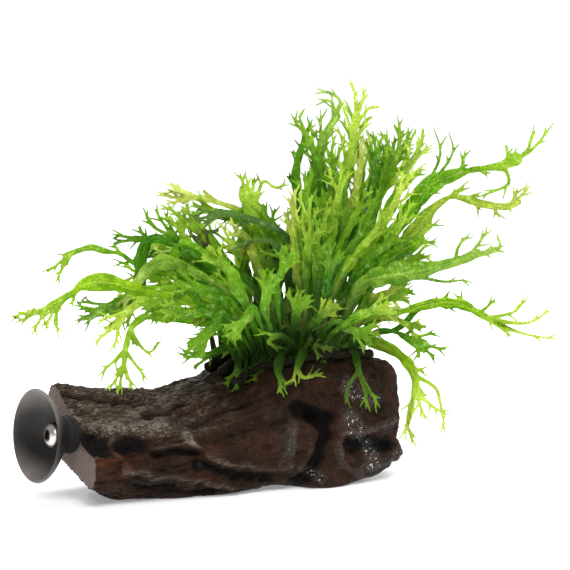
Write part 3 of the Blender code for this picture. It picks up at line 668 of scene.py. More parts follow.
@dataclass
class Driftwood:
    """The chunk of wood: smooth outlines, carved, creased and worn into fibres."""

    sections: dict = field(default_factory=lambda: WOOD_SECTIONS)
    rings: int = 240
    around: int = 240
    cad_around: int = 30            # points of an outline where the rhizomes lie
    rhizomes: dict = field(default_factory=lambda: {"front": -12.0, "middle": 0.0, "back": 12.0})
    rhizome_radius: float = 2.3     # mm
    clearance: float = 0.6          # mm

    CAP = 14                        # rings of the rounded right end
    SPLINTERS = 18
    GRAIN_BEND = 30                 # mm left of the middle, from where the grain rises to the right
    GRAIN_SLOPE, GRAIN_TOP = 0.34, 26

    def outline(self, x: float, count: int) -> np.ndarray:
        """Return the outline (Y, Z) in mm at x mm along the wood."""
        stations = sorted(self.sections)
        keys = np.array([self.sections[s] for s in stations], float)
        i = min(max(int(np.searchsorted(stations, x)) - 1, 0), len(stations) - 2)
        t = (x - stations[i]) / (stations[i + 1] - stations[i])
        t = t * t * (3 - 2 * t)
        ring = smooth_line(keys[i] * (1 - t) + keys[i + 1] * t, count, closed=True)
        ring[:, 1] = np.maximum(ring[:, 1], 0)
        return ring

    def rhizome_middle(self, x: float, name: str) -> np.ndarray:
        """Return the middle of a rhizome at x mm along the wood, in metres."""
        ring = self.outline(x, self.cad_around)
        upper = ring[ring[:, 1] > 30]
        upper = upper[np.argsort(upper[:, 0])]
        y = self.rhizomes[name]
        top = np.interp(y, upper[:, 0], upper[:, 1])
        return np.array((x, y, top + self.clearance + self.rhizome_radius)) * MM

    def smooth_grid(self) -> np.ndarray:
        """Return the smooth surface in mm: ring, point around, place; its right end is rounded off."""
        start, end = min(self.sections), max(self.sections)
        along = np.linspace(start, end, self.rings - self.CAP)
        grid = [np.column_stack([np.full(self.around, x), self.outline(x, self.around)]) for x in along]
        last = grid[-1]
        middle = last.mean(0)
        for turn in np.linspace(0, math.pi / 2, self.CAP + 1)[1:]:
            ring = middle + (last - middle) * (1 - 0.22 * (1 - math.cos(turn)))
            ring[:, 0] = end + 2.6 * math.sin(turn)
            grid.append(ring)
        return np.array(grid)

    @staticmethod
    def normals(grid: np.ndarray) -> np.ndarray:
        """Return the outward direction at each point of a grid."""
        length = np.gradient(grid, axis=0)
        girth = (np.roll(grid, -1, 1) - np.roll(grid, 1, 1)) / 2
        out = np.cross(length, girth)
        out /= np.maximum(np.linalg.norm(out, axis=2, keepdims=True), 1e-9)
        centre = grid.mean(1, keepdims=True)
        flip = np.sign(((grid - centre) * out).sum(2).mean())
        return out * flip

    def carve(self, grid: np.ndarray, out: np.ndarray) -> tuple[np.ndarray, np.ndarray, np.ndarray]:
        """Work out the carvings.

        Args:
            grid: the smooth surface in mm.
            out: its outward directions.

        Returns:
            How far each point moves out, in mm, how much paler it gets with painted light, negative for
            darker with painted shade, and how much wetter, where painted glints also gather.
        """
        flat = grid.reshape(-1, 3)
        offset = flat - Sight.MIDDLE
        rise, level = math.sin(Sight.RISE), math.cos(Sight.RISE)
        deep = offset @ Sight.AWAY
        scale = (Sight.DISTANCE + level * deep - rise * offset[:, 2]) / Sight.DISTANCE
        drawn = np.stack([offset @ Sight.RIGHT / scale, (level * offset[:, 2] + rise * deep) / scale], axis=1)
        toward = -Sight.AWAY * level + np.array((0, 0, rise))
        facing = eased(out.reshape(-1, 3) @ toward, 0.02, 0.3)
        warp = Lumps(3)
        drawn = drawn + 1.6 * np.stack([warp.at(flat / 6.0), warp.at(flat / 6.0 + 40)], axis=1)
        height, shade, gloss = np.zeros((3, len(flat)))
        for cut in CARVINGS:
            line = smooth_line(cut.line, 14)
            far = Stroke(line, np.zeros(len(line))).measure(drawn)[0]
            near = facing * (1 - eased(far, 0, cut.width))
            height += cut.height * near
            shade += cut.shade * near
            gloss += cut.gloss * near
        shape = grid.shape[:2]
        return height.reshape(shape), shade.reshape(shape), gloss.reshape(shape)

    def weather(self) -> tuple[np.ndarray, dict[str, np.ndarray]]:
        """Return the worn surface in mm as a grid, and what the finish reads at each point."""
        grid = self.smooth_grid()
        out = self.normals(grid)
        flat = grid.reshape(-1, 3)
        shape = grid.shape[:2]
        lumps, grain, pits = Lumps(5), Lumps(7), Lumps(11)
        x, bend = flat[:, 0], self.GRAIN_BEND
        slant = self.GRAIN_SLOPE * (np.sqrt((x + bend) ** 2 + 120) + x + bend) / 2
        slant = np.minimum(slant, self.GRAIN_TOP)
        bent = flat + 2.2 * np.stack([lumps.at(flat / 15 + shift) for shift in (0, 9, 31)], axis=1)
        run = np.stack([bent[:, 0] / 17, bent[:, 1] / 1.9, (bent[:, 2] - slant) / 1.9], axis=1)
        fibre = 1 - 2 * np.abs(grain.rough(run, 3, 0.55))
        fine = grain.rough(run * (2.2, 3, 3) + 5, 3, 0.6)
        big = lumps.rough(flat / 17, 3, 0.5)
        hole = eased(pits.rough(flat / (9, 4.5, 4.5), 2), 0.42, 0.8)
        height, shade, gloss = self.carve(grid, out)
        left = eased(flat[:, 0], 20, -30)
        back = eased(out[:, :, 1].ravel(), 0.1, 0.7)
        move = (1.1 + 1.6 * back) * big + (0.32 + 0.38 * left + 0.5 * back) * fibre
        move = move + (0.12 + 0.12 * left) * fine - 1.2 * hole
        move += 0.35 * lumps.at(flat / 2.4) + 0.16 * pits.at(flat / 1.1)
        cut_end = eased(flat[:, 0], -68.6, -69.9)
        edge = eased(flat[:, 0], -64, -70)
        move = move.reshape(shape) + height
        move -= (0.5 * edge + 0.3 * cut_end).reshape(shape)
        low = eased(grid[:, :, 2], 0.2, 3.5)
        worn = grid + out * (move * (0.25 + 0.75 * low))[:, :, None]
        worn[:, :, 2] = np.maximum(worn[:, :, 2], 0)
        # shade paints light on the carvings' ridges and shade in their grooves; cave sets painted shade by
        # depth; dull marks the dry upward faces of the left half, which also get painted light
        marks = {"fibre": fibre.reshape(shape), "shade": shade, "cave": -move, "gloss": gloss,
                 "dull": left.reshape(shape) * eased(out[:, :, 2], 0.1, 0.62)}
        return worn, marks

    def build(self) -> bpy.types.Object:
        """Make the wood with its sawn end."""
        self.worn, marks = self.weather()
        rings, around = self.worn.shape[:2]
        self.out = self.normals(self.worn)
        verts = list(self.worn.reshape(-1, 3) * MM)
        values = {key: list(value.ravel()) for key, value in marks.items()}
        number = np.arange(rings * around).reshape(rings, around)
        after = np.roll(number, -1, 1)
        faces = list(np.stack([number[:-1], after[:-1], after[1:], number[1:]], -1).reshape(-1, 4))
        values["sawn"] = [0.0] * len(verts)
        self.close(verts, faces, values, number[0], 1.0, Lumps(13))
        self.close(verts, faces, values, number[-1], 0.0, Lumps(17))
        piece = mesh_piece("driftwood_worn", verts, [tuple(int(i) for i in f) for f in faces],
                           WoodFinish().dress(), {k: np.array(v) for k, v in values.items()}, sharp=62)
        outward(piece)
        self.build_splinters()
        return place_in_frame(piece, "driftwood", "driftwood")

    def build_splinters(self) -> None:
        """Make the splinters that the saw left along the top of the cut."""
        chance, bundle = np.random.default_rng(23), Bundle()
        row = self.worn[3]
        for spot in int(np.argmax(row[:, 2])) + chance.integers(-26, 34, self.SPLINTERS):
            foot = row[spot % len(row)]
            tip = foot + chance.normal((-0.7, 0, 1.0), (0.6, 0.6, 0.6))
            bend = (foot + tip) / 2 + chance.normal(0, 0.15, 3)
            line = smooth_line((foot - (0, 0, 0.6), bend, tip), 8) * MM
            bundle.add(*tube(line, np.linspace(0.24, 0.04, 8) * MM, 5))
        piece = mesh_piece("splinters", bundle.verts, bundle.faces,
                           RhizomeFinish("splinter", (0.030, 0.018, 0.010), (0.110, 0.075, 0.052)).dress())
        place_in_frame(piece, "driftwood")

    @staticmethod
    def close(verts: list, faces: list, values: dict, rim: np.ndarray, sawn: float, lumps: Lumps) -> None:
        """Close an end with rings that shrink to its middle.

        Args:
            verts: the points, to add to.
            faces: the faces, to add to.
            values: what the finish reads, to add to.
            rim: the numbers of the points round the end.
            sawn: 1 for a sawn end and 0 for a worn one.
            lumps: the noise of its surface.
        """
        edge = np.array([verts[i] for i in rim])
        middle = edge.mean(0)
        outer = rim
        steps = 26
        for k in range(1, steps):
            ring = middle + (edge - middle) * (1 - k / steps)
            dents = lumps.rough(ring / MM / (3, 1.6, 5), 3) * (0.22 if sawn else 0.9) * MM
            ring[:, 0] += dents * min(1, k / 3)
            first = len(verts)
            verts.extend(ring)
            for key in values:
                filler = sawn if key == "sawn" else 0.0
                values[key].extend([filler] * len(rim))
            inner = np.arange(first, first + len(rim))
            faces.extend(np.stack([outer, np.roll(outer, -1), np.roll(inner, -1), inner], -1))
            outer = inner
        verts.append(middle)
        for key in values:
            values[key].append(sawn if key == "sawn" else 0.0)
        last = len(verts) - 1
        faces.extend((a, b, last) for a, b in zip(outer, np.roll(outer, -1)))


# ---- the sheet that the fronds are drawn on ----

class Sight:
    """The upright sheet that the fronds are drawn on, seen from a distance and a little above."""

    DISTANCE = 800.0
    RISE = math.radians(6)
    MIDDLE = np.array((21.5, -12.4, 85.3))
    RIGHT = np.array((math.cos(math.radians(30)), -math.sin(math.radians(30)), 0))
    AWAY = np.array((math.sin(math.radians(30)), math.cos(math.radians(30)), 0))

    @classmethod
    def place(cls, drawn: np.ndarray, deep: np.ndarray) -> np.ndarray:
        """Turn drawn points into places in the row frame.

        Args:
            drawn: across and high, in mm, one point a row.
            deep: how far behind the sheet each lies, in mm.

        Returns:
            The places in metres, one a row.
        """
        rise, level = math.sin(cls.RISE), math.cos(cls.RISE)
        across, high = drawn[:, 0], drawn[:, 1]
        scale = ((1 + level * deep / cls.DISTANCE + rise * rise * deep / level / cls.DISTANCE)
                 / (1 + rise / level * high / cls.DISTANCE))
        up = (high * scale - rise * deep) / level
        flat = cls.RIGHT * (across * scale)[:, None] + cls.AWAY * deep[:, None]
        return (cls.MIDDLE + flat + np.stack([0 * up, 0 * up, up], axis=1)) * MM

    @classmethod
    def drawn(cls, place: np.ndarray) -> tuple[float, float, float]:
        """Return across, high and deep in mm of one place in metres."""
        offset = place / MM - cls.MIDDLE
        rise, level = math.sin(cls.RISE), math.cos(cls.RISE)
        deep = float(offset @ cls.AWAY)
        scale = (cls.DISTANCE + level * deep - rise * offset[2]) / cls.DISTANCE
        return float(offset @ cls.RIGHT) / scale, (level * offset[2] + rise * deep) / scale, deep


@dataclass
class Stroke:
    """One tapering stroke of a frond's outline, on the drawing."""

    line: np.ndarray            # its middle, in mm
    widths: np.ndarray          # half its width at each point, in mm
    start: float = 0.0          # mm from the frond's foot to where it leaves
    lift: float = 0.0           # mm that its start lies off the frond's sheet
    lean: float = 0.0           # how fast it leaves the sheet, mm a mm

    def gone(self) -> np.ndarray:
        """Return the length from its start to each of its points."""
        return np.concatenate([[0], np.cumsum(np.linalg.norm(np.diff(self.line, axis=0), axis=1))])

    def measure(self, spots: np.ndarray) -> tuple[np.ndarray, np.ndarray, np.ndarray]:
        """Measure points against the stroke.

        Args:
            spots: drawn points, one a row.

        Returns:
            The distance outside its edge, the length along it, and the distance to its left.
        """
        best = np.full(len(spots), 1e9)
        along = np.zeros(len(spots))
        side = np.zeros(len(spots))
        gone = 0.0
        for a, b, wa, wb in zip(self.line, self.line[1:], self.widths, self.widths[1:]):
            step = b - a
            length = math.hypot(*step)
            if length < 1e-6:
                continue
            t = np.clip((spots - a) @ step / length ** 2, 0, 1)
            gap = spots - a - t[:, None] * step
            far = np.hypot(gap[:, 0], gap[:, 1])
            outside = far - (wa + (wb - wa) * t)
            closer = outside < best
            best = np.where(closer, outside, best)
            along = np.where(closer, gone + t * length, along)
            turn = step[0] * gap[:, 1] - step[1] * gap[:, 0]
            side = np.where(closer, np.where(turn < 0, -far, far), side)
            gone += length
        return best, along, side


class Outline:
    """The strokes of a frond melted together and cut into small faces."""

    MELT = 0.65                 # mm, how far strokes run into each other

    def __init__(self, strokes: Sequence[Stroke], cell: float) -> None:
        """Cut the shape.

        Args:
            strokes: the strokes, the first with the foot at its start.
            cell: mm, the size of its smallest faces.
        """
        self.cell = cell
        points = np.concatenate([s.line for s in strokes])
        reach = max(float(s.widths.max()) for s in strokes) + 2 * self.cell
        self.low = points.min(0) - reach
        self.size = np.ceil((points.max(0) + reach - self.low) / self.cell).astype(int) + 1
        self.field = np.full(tuple(self.size), 9.0)
        for stroke in strokes:
            self.melt_in(stroke)
        self.keep_whole(strokes[0].line[0])
        self.cut()

    def melt_in(self, stroke: Stroke) -> None:
        """Add a stroke to the field of distances."""
        reach = float(stroke.widths.max()) + self.MELT + 2 * self.cell
        first = np.clip(((stroke.line.min(0) - reach - self.low) / self.cell).astype(int), 0, None)
        last = np.minimum(((stroke.line.max(0) + reach - self.low) / self.cell).astype(int) + 2, self.size)
        grid = np.stack(np.meshgrid(*[np.arange(a, b) for a, b in zip(first, last)], indexing="ij"), -1)
        spots = grid.reshape(-1, 2) * self.cell + self.low
        new = stroke.measure(spots)[0].reshape(grid.shape[:2])
        part = (slice(first[0], last[0]), slice(first[1], last[1]))
        old = self.field[part]
        share = np.clip(0.5 + 0.5 * (old - new) / self.MELT, 0, 1)
        self.field[part] = old * (1 - share) + new * share - self.MELT * share * (1 - share)

    def keep_whole(self, foot: np.ndarray) -> None:
        """Drop what is not joined to the foot."""
        inside = self.field < 0
        kept = np.zeros_like(inside)
        at = ((foot - self.low) / self.cell).round().astype(int)
        kept[at[0] - 1:at[0] + 2, at[1] - 1:at[1] + 2] = True
        kept &= inside
        count = -1
        while kept.sum() != count:
            count = kept.sum()
            for _ in range(8):
                for axis in (0, 1):
                    kept = kept | np.roll(kept, 1, axis) | np.roll(kept, -1, axis)
                kept &= inside
        self.field[inside & ~kept] = 0.1

    def cut(self) -> None:
        """Fill the shape with faces: whole cells inside, and cells cut along its edge."""
        nx, ny = self.size
        inside = self.field < 0
        number = np.arange(nx * ny).reshape(nx, ny)
        ring = [(0, 0), (1, 0), (1, 1), (0, 1)]
        corner = np.stack([number[dx:nx - 1 + dx, dy:ny - 1 + dy] for dx, dy in ring], -1).reshape(-1, 4)
        within = inside.ravel()[corner]
        faces = self.fill(number, within.all(1).reshape(nx - 1, ny - 1))
        field, crossings, extra = self.field.ravel(), {}, []
        spots = np.stack(np.meshgrid(np.arange(nx), np.arange(ny), indexing="ij"), -1).reshape(-1, 2)
        crossed = within.any(1) & ~within.all(1)
        for quad, marks in zip(corner[crossed], within[crossed]):
            face = []
            for i in range(4):
                a, b = int(quad[i]), int(quad[(i + 1) % 4])
                if marks[i]:
                    face.append(a)
                if marks[i] != marks[(i + 1) % 4]:
                    key = (min(a, b), max(a, b))
                    if key not in crossings:
                        share = field[key[0]] / (field[key[0]] - field[key[1]])
                        share = min(max(share, 0.1), 0.9)
                        crossings[key] = nx * ny + len(extra)
                        extra.append(spots[key[0]] * (1 - share) + spots[key[1]] * share)
                    face.append(crossings[key])
            faces.append(tuple(face))
        every = np.concatenate([spots, np.array(extra)])
        used = np.unique(np.concatenate([np.array(f) for f in faces]))
        renumber = np.zeros(len(every), int)
        renumber[used] = np.arange(len(used))
        self.spots = every[used] * self.cell + self.low
        self.faces = [tuple(int(i) for i in renumber[list(f)]) for f in faces]
        deep = np.concatenate([field, np.zeros(len(extra))])
        self.inset = np.maximum(-deep[used], 0)

    @staticmethod
    def fill(number: np.ndarray, full: np.ndarray) -> list[tuple]:
        """Fill the cells that lie wholly inside, four at a time where it can.

        Args:
            number: the numbers of the grid's corners.
            full: which cells lie wholly inside.

        Returns:
            The faces; a large one has its neighbours' corners on its sides too.
        """
        nx, ny = full.shape[0] // 2, full.shape[1] // 2
        block = np.zeros((nx + 2, ny + 2), bool)
        block[1:-1, 1:-1] = full[:2 * nx, :2 * ny].reshape(nx, 2, ny, 2).all(axis=(1, 3))
        faces = []
        for i, j in np.argwhere(block):
            x, y = 2 * (i - 1), 2 * (j - 1)
            face = []
            for (a, b), (c, d), beyond in (
                    ((0, 0), (1, 0), (0, -1)), ((2, 0), (2, 1), (1, 0)),
                    ((2, 2), (1, 2), (0, 1)), ((0, 2), (0, 1), (-1, 0))):
                face.append(int(number[x + a, y + b]))
                if not block[i + beyond[0], j + beyond[1]]:
                    face.append(int(number[x + c, y + d]))
            faces.append(tuple(face))
        fine = full.copy()
        fine[:2 * nx, :2 * ny] &= ~np.repeat(np.repeat(block[1:-1, 1:-1], 2, 0), 2, 1)
        for i, j in np.argwhere(fine):
            faces.append(tuple(int(n) for n in (number[i, j], number[i + 1, j], number[i + 1, j + 1],
                                                number[i, j + 1])))
        return faces

    def rim(self) -> list[tuple[int, int]]:
        """Return the edges along the outline, each as it runs in its face."""
        edges = {(f[i], f[(i + 1) % len(f)]) for f in self.faces for i in range(len(f))}
        return [(a, b) for a, b in edges if (b, a) not in edges]


class Age(Enum):
    """How old a frond is, which sets its colour."""

    YOUNG = "young"
    MATURE = "mature"
    DEEP = "deep"
    OLD = "old"
    YELLOW = "yellow"
    PALE = "pale"
    DEAD = "dead"


@dataclass
class Frond:
    """One frond: a stalk, a strap-like blade and a crest of forking tips."""

    rhizome: str
    along: float                    # mm along the wood
    deep: float                     # mm, how far behind the drawing its tips lie
    width: float | tuple            # mm, of the blade, or widths evenly spaced along the route
    route: tuple                    # across and high, in mm, from the stalk to the crest
    tips: tuple | int               # each: where it leaves the route (0 to 1), then its points; or how many
    reach: float = 100.0            # mm from its middle to where deep is reached
    middle: tuple = (5.0, -27.0)    # of the bowl that it lies in, on the drawing
    number: int = 0
    age: Age = Age.MATURE
    cell: float = 0.45              # mm, the size of its smallest faces

    CLUMP_FOOT = (5.0, -27.0)
    SLANT, SLANT_REACH = math.tan(math.radians(30)), 45.0
    BOWL_POWER, BOWL_LIP = 1.3, 6
    FOOT_RISE = 2.9                 # mm from the middle of its rhizome up to its foot
    STALK = 1.8                     # mm, its width
    STALK_SUNK, STALK_RISE = 1.5, 2.6           # mm below and above the foot, between which it is upright
    TOOTH_GAP = 38                  # mm of its length for each tooth
    SPREAD = 100                    # degrees, of tips that are given by their number alone
    TIP = 0.50                      # mm, half the width where a tip leaves the blade
    POINT = 0.20                    # mm, half the width at its end
    EDGES = (-86.0, -1), (37.0, 1)  # mm, where the fronds that lean furthest bend back
    EDGE_SOFT = 2.5                 # mm, the most that they go past it
    SPINE = 60

    def prepare(self, wood: "Driftwood") -> None:
        """Lay the frond's sheet and spine from its foot on the rhizome."""
        self.chance = np.random.default_rng(100 + self.number)
        foot = wood.rhizome_middle(self.along, self.rhizome) + np.array((0, 0, self.FOOT_RISE * MM))
        across, high, deep = Sight.drawn(foot)
        share, slant = self.bowl(np.array([[across, high]]))
        self.foot = float((deep - slant[0] - self.deep * share[0]) / (1 - share[0]))
        start = [(across, high - self.STALK_SUNK), (across, high + self.STALK_RISE)]
        self.spine = smooth_line([*start, *self.route], self.SPINE)
        self.length = float(np.linalg.norm(np.diff(self.spine, axis=0), axis=1).sum())

    def bowl(self, drawn: np.ndarray) -> tuple[np.ndarray, np.ndarray]:
        """Return the share of its depth that is reached at drawn points, and the clump's slant there."""
        far = np.hypot(drawn[:, 0] - self.CLUMP_FOOT[0], drawn[:, 1] - self.CLUMP_FOOT[1])
        slant = self.SLANT * drawn[:, 0] / (1 + (far / self.SLANT_REACH) ** 2)
        out = np.hypot(drawn[:, 0] - self.middle[0], drawn[:, 1] - self.middle[1]) / self.reach
        return (out / (1 + out ** self.BOWL_LIP) ** (1 / self.BOWL_LIP)) ** self.BOWL_POWER, slant

    def half_widths(self, count: int) -> np.ndarray:
        """Return half the blade's width at so many places along the spine."""
        drawn = self.width
        if not isinstance(drawn, tuple):
            drawn = (self.STALK, self.STALK, 0.5 * drawn, 0.8 * drawn, 0.74 * drawn, 1.3 * self.STALK)
        keys = np.array([(i, w) for i, w in enumerate(drawn)], float)
        fine = smooth_line(keys, 200)
        wide = np.interp(np.linspace(0, len(drawn) - 1, count), fine[:, 0], fine[:, 1]) / 2
        grow = np.linspace(0, 1, count)
        knots = self.chance.uniform(-0.28, 0.22, int(self.length / 3) + 2)
        wobble = np.interp(grow, np.linspace(0, 1, len(knots)), knots)
        return np.maximum(wide * (1 + wobble), 0.45)

    def tine(self, parent: Stroke, share: float, turn: float, length: float, wide: float) -> Stroke:
        """Grow a curved side tine out of a stroke.

        Args:
            parent: the stroke.
            share: how far along it, 0 to 1.
            turn: how far it turns away, in degrees, positive to the left.
            length: mm.
            wide: half its width at its root, in mm.

        Returns:
            The tine.
        """
        at = min(int(share * (len(parent.line) - 1)), len(parent.line) - 2)
        heading = parent.line[at + 1] - parent.line[max(at - 1, 0)]
        heading /= max(math.hypot(*heading), 1e-6)
        first = math.radians(turn)
        bend = math.radians(float(self.chance.uniform(-28, 18))) * (1 if turn > 0 else -1)
        spot, line = parent.line[at], [parent.line[at]]
        steps = 6
        for i in range(steps):
            angle = first + bend * i / steps
            c, s = math.cos(angle), math.sin(angle)
            ahead = np.array((c * heading[0] - s * heading[1], s * heading[0] + c * heading[1]))
            spot = spot + ahead * length / steps
            line.append(spot)
        widths = np.linspace(wide, self.POINT, steps + 1)
        gone = float(parent.gone()[at])
        return Stroke(np.array(line), widths, parent.start + gone, parent.lift + parent.lean * gone,
                      float(self.chance.uniform(-0.7, 0.7)))

    def fan(self) -> list[tuple]:
        """Return tips that spread from the end of the route, in the table's form."""
        end, before = np.array(self.route[-1], float), np.array(self.route[-2], float)
        ahead, tips = math.atan2(*(end - before)[::-1]), []
        for i in range(self.tips):
            off = i - (self.tips - 1) / 2
            turn = ahead + math.radians(off * self.SPREAD / self.tips + float(self.chance.uniform(-9, 9)))
            reach = float(self.chance.uniform(5, 9))
            point = end + reach * np.array((math.cos(turn), math.sin(turn)))
            tips.append((1 - 0.05 * abs(off), tuple(point)))
        return tips

    def strokes(self) -> list[Stroke]:
        """Return every stroke of the outline: the blade, its teeth, the tips and their tines."""
        wide = self.half_widths(self.SPINE)
        blade = Stroke(self.spine, wide)
        found, chance = [blade], self.chance
        for start, *points in self.fan() if isinstance(self.tips, int) else self.tips:
            at = min(int(start * (self.SPINE - 1)), self.SPINE - 3)
            back = max(at - 3, 0)
            line = smooth_line([self.spine[back], self.spine[at], *points], 6 + 5 * len(points))
            root = min(self.TIP * 1.9, wide[at] * 0.9)
            widths = np.interp(np.linspace(0, 1, len(line)), (0, 0.35, 0.7, 1), (root, 0.78, 0.5, self.POINT))
            gone = self.length * back / (self.SPINE - 1)
            tip = Stroke(line, widths, gone, 0, float(chance.uniform(-0.45, 0.45)))
            found.append(tip)
            found += self.forks(tip)
        for _ in range(int(self.length / self.TOOTH_GAP)):
            share = float(chance.uniform(0.72, 0.99))
            at = int(share * (self.SPINE - 1))
            turn = float(chance.choice((-1, 1)) * chance.uniform(22, 46))
            reach = wide[at] / math.sin(abs(math.radians(turn))) * 0.8
            tooth = self.tine(blade, share, turn, reach + float(chance.uniform(2.2, 6.5)), 0.8)
            found += [tooth, self.tine(tooth, 0.62, -turn * 0.8, float(chance.uniform(2, 4)), 0.45)]
        return found

    def forks(self, tip: Stroke) -> list[Stroke]:
        """Return the tines of a tip: two or three at its end, and some along its sides."""
        length, chance, found = float(tip.gone()[-1]), self.chance, []
        if length < 4:
            return found
        side = float(chance.choice((-1, 1)))
        for share in (0.86, 0.72):
            found.append(self.tine(tip, share, side * float(chance.uniform(20, 40)),
                                   float(chance.uniform(2.6, 5.6)), 0.45))
            side = -side
        for share in (0.32, 0.55):
            if length * share > 2.5 and chance.random() < 0.4:
                found.append(self.tine(tip, float(share), side * float(chance.uniform(28, 55)),
                                       float(chance.uniform(2.6, 6)), 0.46))
                side = -side
        return found

    def sheet_depth(self, drawn: np.ndarray, strokes: Sequence[Stroke]) -> tuple[np.ndarray, ...]:
        """Work out how deep drawn points lie, with the blade's folds, waves and twist.

        Args:
            drawn: the points, one a row.
            strokes: the outline's strokes, the blade first.

        Returns:
            The depth in mm, the length grown from 0 at the foot, the distance to the left of the
            rib in half widths, and that distance in mm.
        """
        share, slant = self.bowl(drawn)
        deep = slant + self.foot + (self.deep - self.foot) * share
        _, along, side = strokes[0].measure(drawn)
        wide = np.interp(along, strokes[0].gone(), strokes[0].widths)
        grown = along / self.length
        flare = eased(wide, 0.9, 2.2)
        across = side / wide
        near = np.minimum(np.abs(across), 1.7)
        look = self.chance
        phase = look.uniform(0, 2 * math.pi, 3)
        wave = look.uniform(0.28, 0.5) * wide * near ** 1.6 * np.sin(
            along * 2 * math.pi / look.uniform(13, 20) + phase[0] + np.sign(side) * 1.1)
        fold = look.uniform(-0.12, 0.42) * wide * near ** 1.2
        twist = look.uniform(-0.5, 0.5) + 0.6 * np.sin(along * 2 * math.pi / look.uniform(45, 80) + phase[1])
        ruffle = 0.34 * near ** 2 * np.sin(
            along * 2 * math.pi / look.uniform(4, 6.5) + phase[2] + 2.4 * np.sign(side))
        deep = deep + flare * (wave + fold + ruffle) + flare * twist * 5 * np.tanh(side / 5)
        gaps, runs = np.array([stroke.measure(drawn)[:2] for stroke in strokes]).transpose(1, 0, 2)
        lifts = np.array([stroke.lift + stroke.lean * run for stroke, run in zip(strokes, runs)])
        weight = np.exp(-(gaps - gaps.min(0)) / 0.5)
        weight /= weight.sum(0)
        lift = (weight * lifts).sum(0)
        run = (weight * (runs + np.array([[stroke.start] for stroke in strokes]))).sum(0)
        return deep + lift, np.maximum(run / self.length, grown), across, side

    def skin(self, wood: "Driftwood") -> tuple[np.ndarray, list, dict[str, np.ndarray]]:
        """Work out the frond as one thin closed skin.

        Args:
            wood: what its rhizome lies on.

        Returns:
            Its points in metres, its faces, and what the finish reads at each point.
        """
        self.prepare(wood)
        strokes = self.strokes()
        outline = Outline(strokes, self.cell)
        deep, grown, across, side = self.sheet_depth(outline.spots, strokes)
        middle = Sight.place(outline.spots, deep)
        soft = self.EDGE_SOFT * MM
        for edge, way in self.EDGES:
            past = np.maximum(way * (middle[:, 1] - edge * MM), 0)
            middle[:, 1] -= way * (past - soft * np.tanh(past / soft))
        mesh = bpy.data.meshes.new("sheet")
        mesh.from_pydata(middle.tolist(), [], outline.faces)
        normals = np.zeros(len(middle) * 3)
        mesh.vertex_normals.foreach_get("vector", normals)
        normals = normals.reshape(-1, 3)
        bpy.data.meshes.remove(mesh)
        inset = outline.inset
        stalk = 1 - eased(grown, 0.06, 0.34)
        blade = 0.11 + 0.24 * eased(inset, 0, 0.9)
        round_stalk = 0.14 + 1.05 * np.sqrt(np.clip(inset / 0.95, 0, 1))
        rib = (1 - 0.75 * eased(grown, 0.3, 1.0)) * np.exp(-(side / 0.5) ** 2) * eased(inset, 0.2, 0.9)
        front = (blade * (1 - stalk) + round_stalk * stalk) / 2 + 0.14 * rib
        back = (blade * (1 - stalk) + round_stalk * stalk) / 2 + 0.4 * rib
        verts = np.concatenate([middle + normals * front[:, None] * MM,
                                middle - normals * back[:, None] * MM])
        count = len(middle)
        faces = list(outline.faces)
        faces += [tuple(i + count for i in reversed(f)) for f in outline.faces]
        faces += [(b, a, a + count, b + count) for a, b in outline.rim()]
        marks = {"grown": grown, "across": across, "inset": inset,
                 "tone": np.full(count, self.chance.random())}
        return verts, faces, {key: np.concatenate([v, v]) for key, v in marks.items()}

    def build(self, wood: "Driftwood", finish: bpy.types.Material) -> bpy.types.Object:
        """Make the frond in the place of its CAD node, with the material of its age."""
        verts, faces, marks = self.skin(wood)
        piece = mesh_piece(f"fern_frond_{self.number:02d}", verts, faces, finish, marks, sharp=75)
        return place_in_frame(piece, "frond", f"frond_{self.number:02d}")


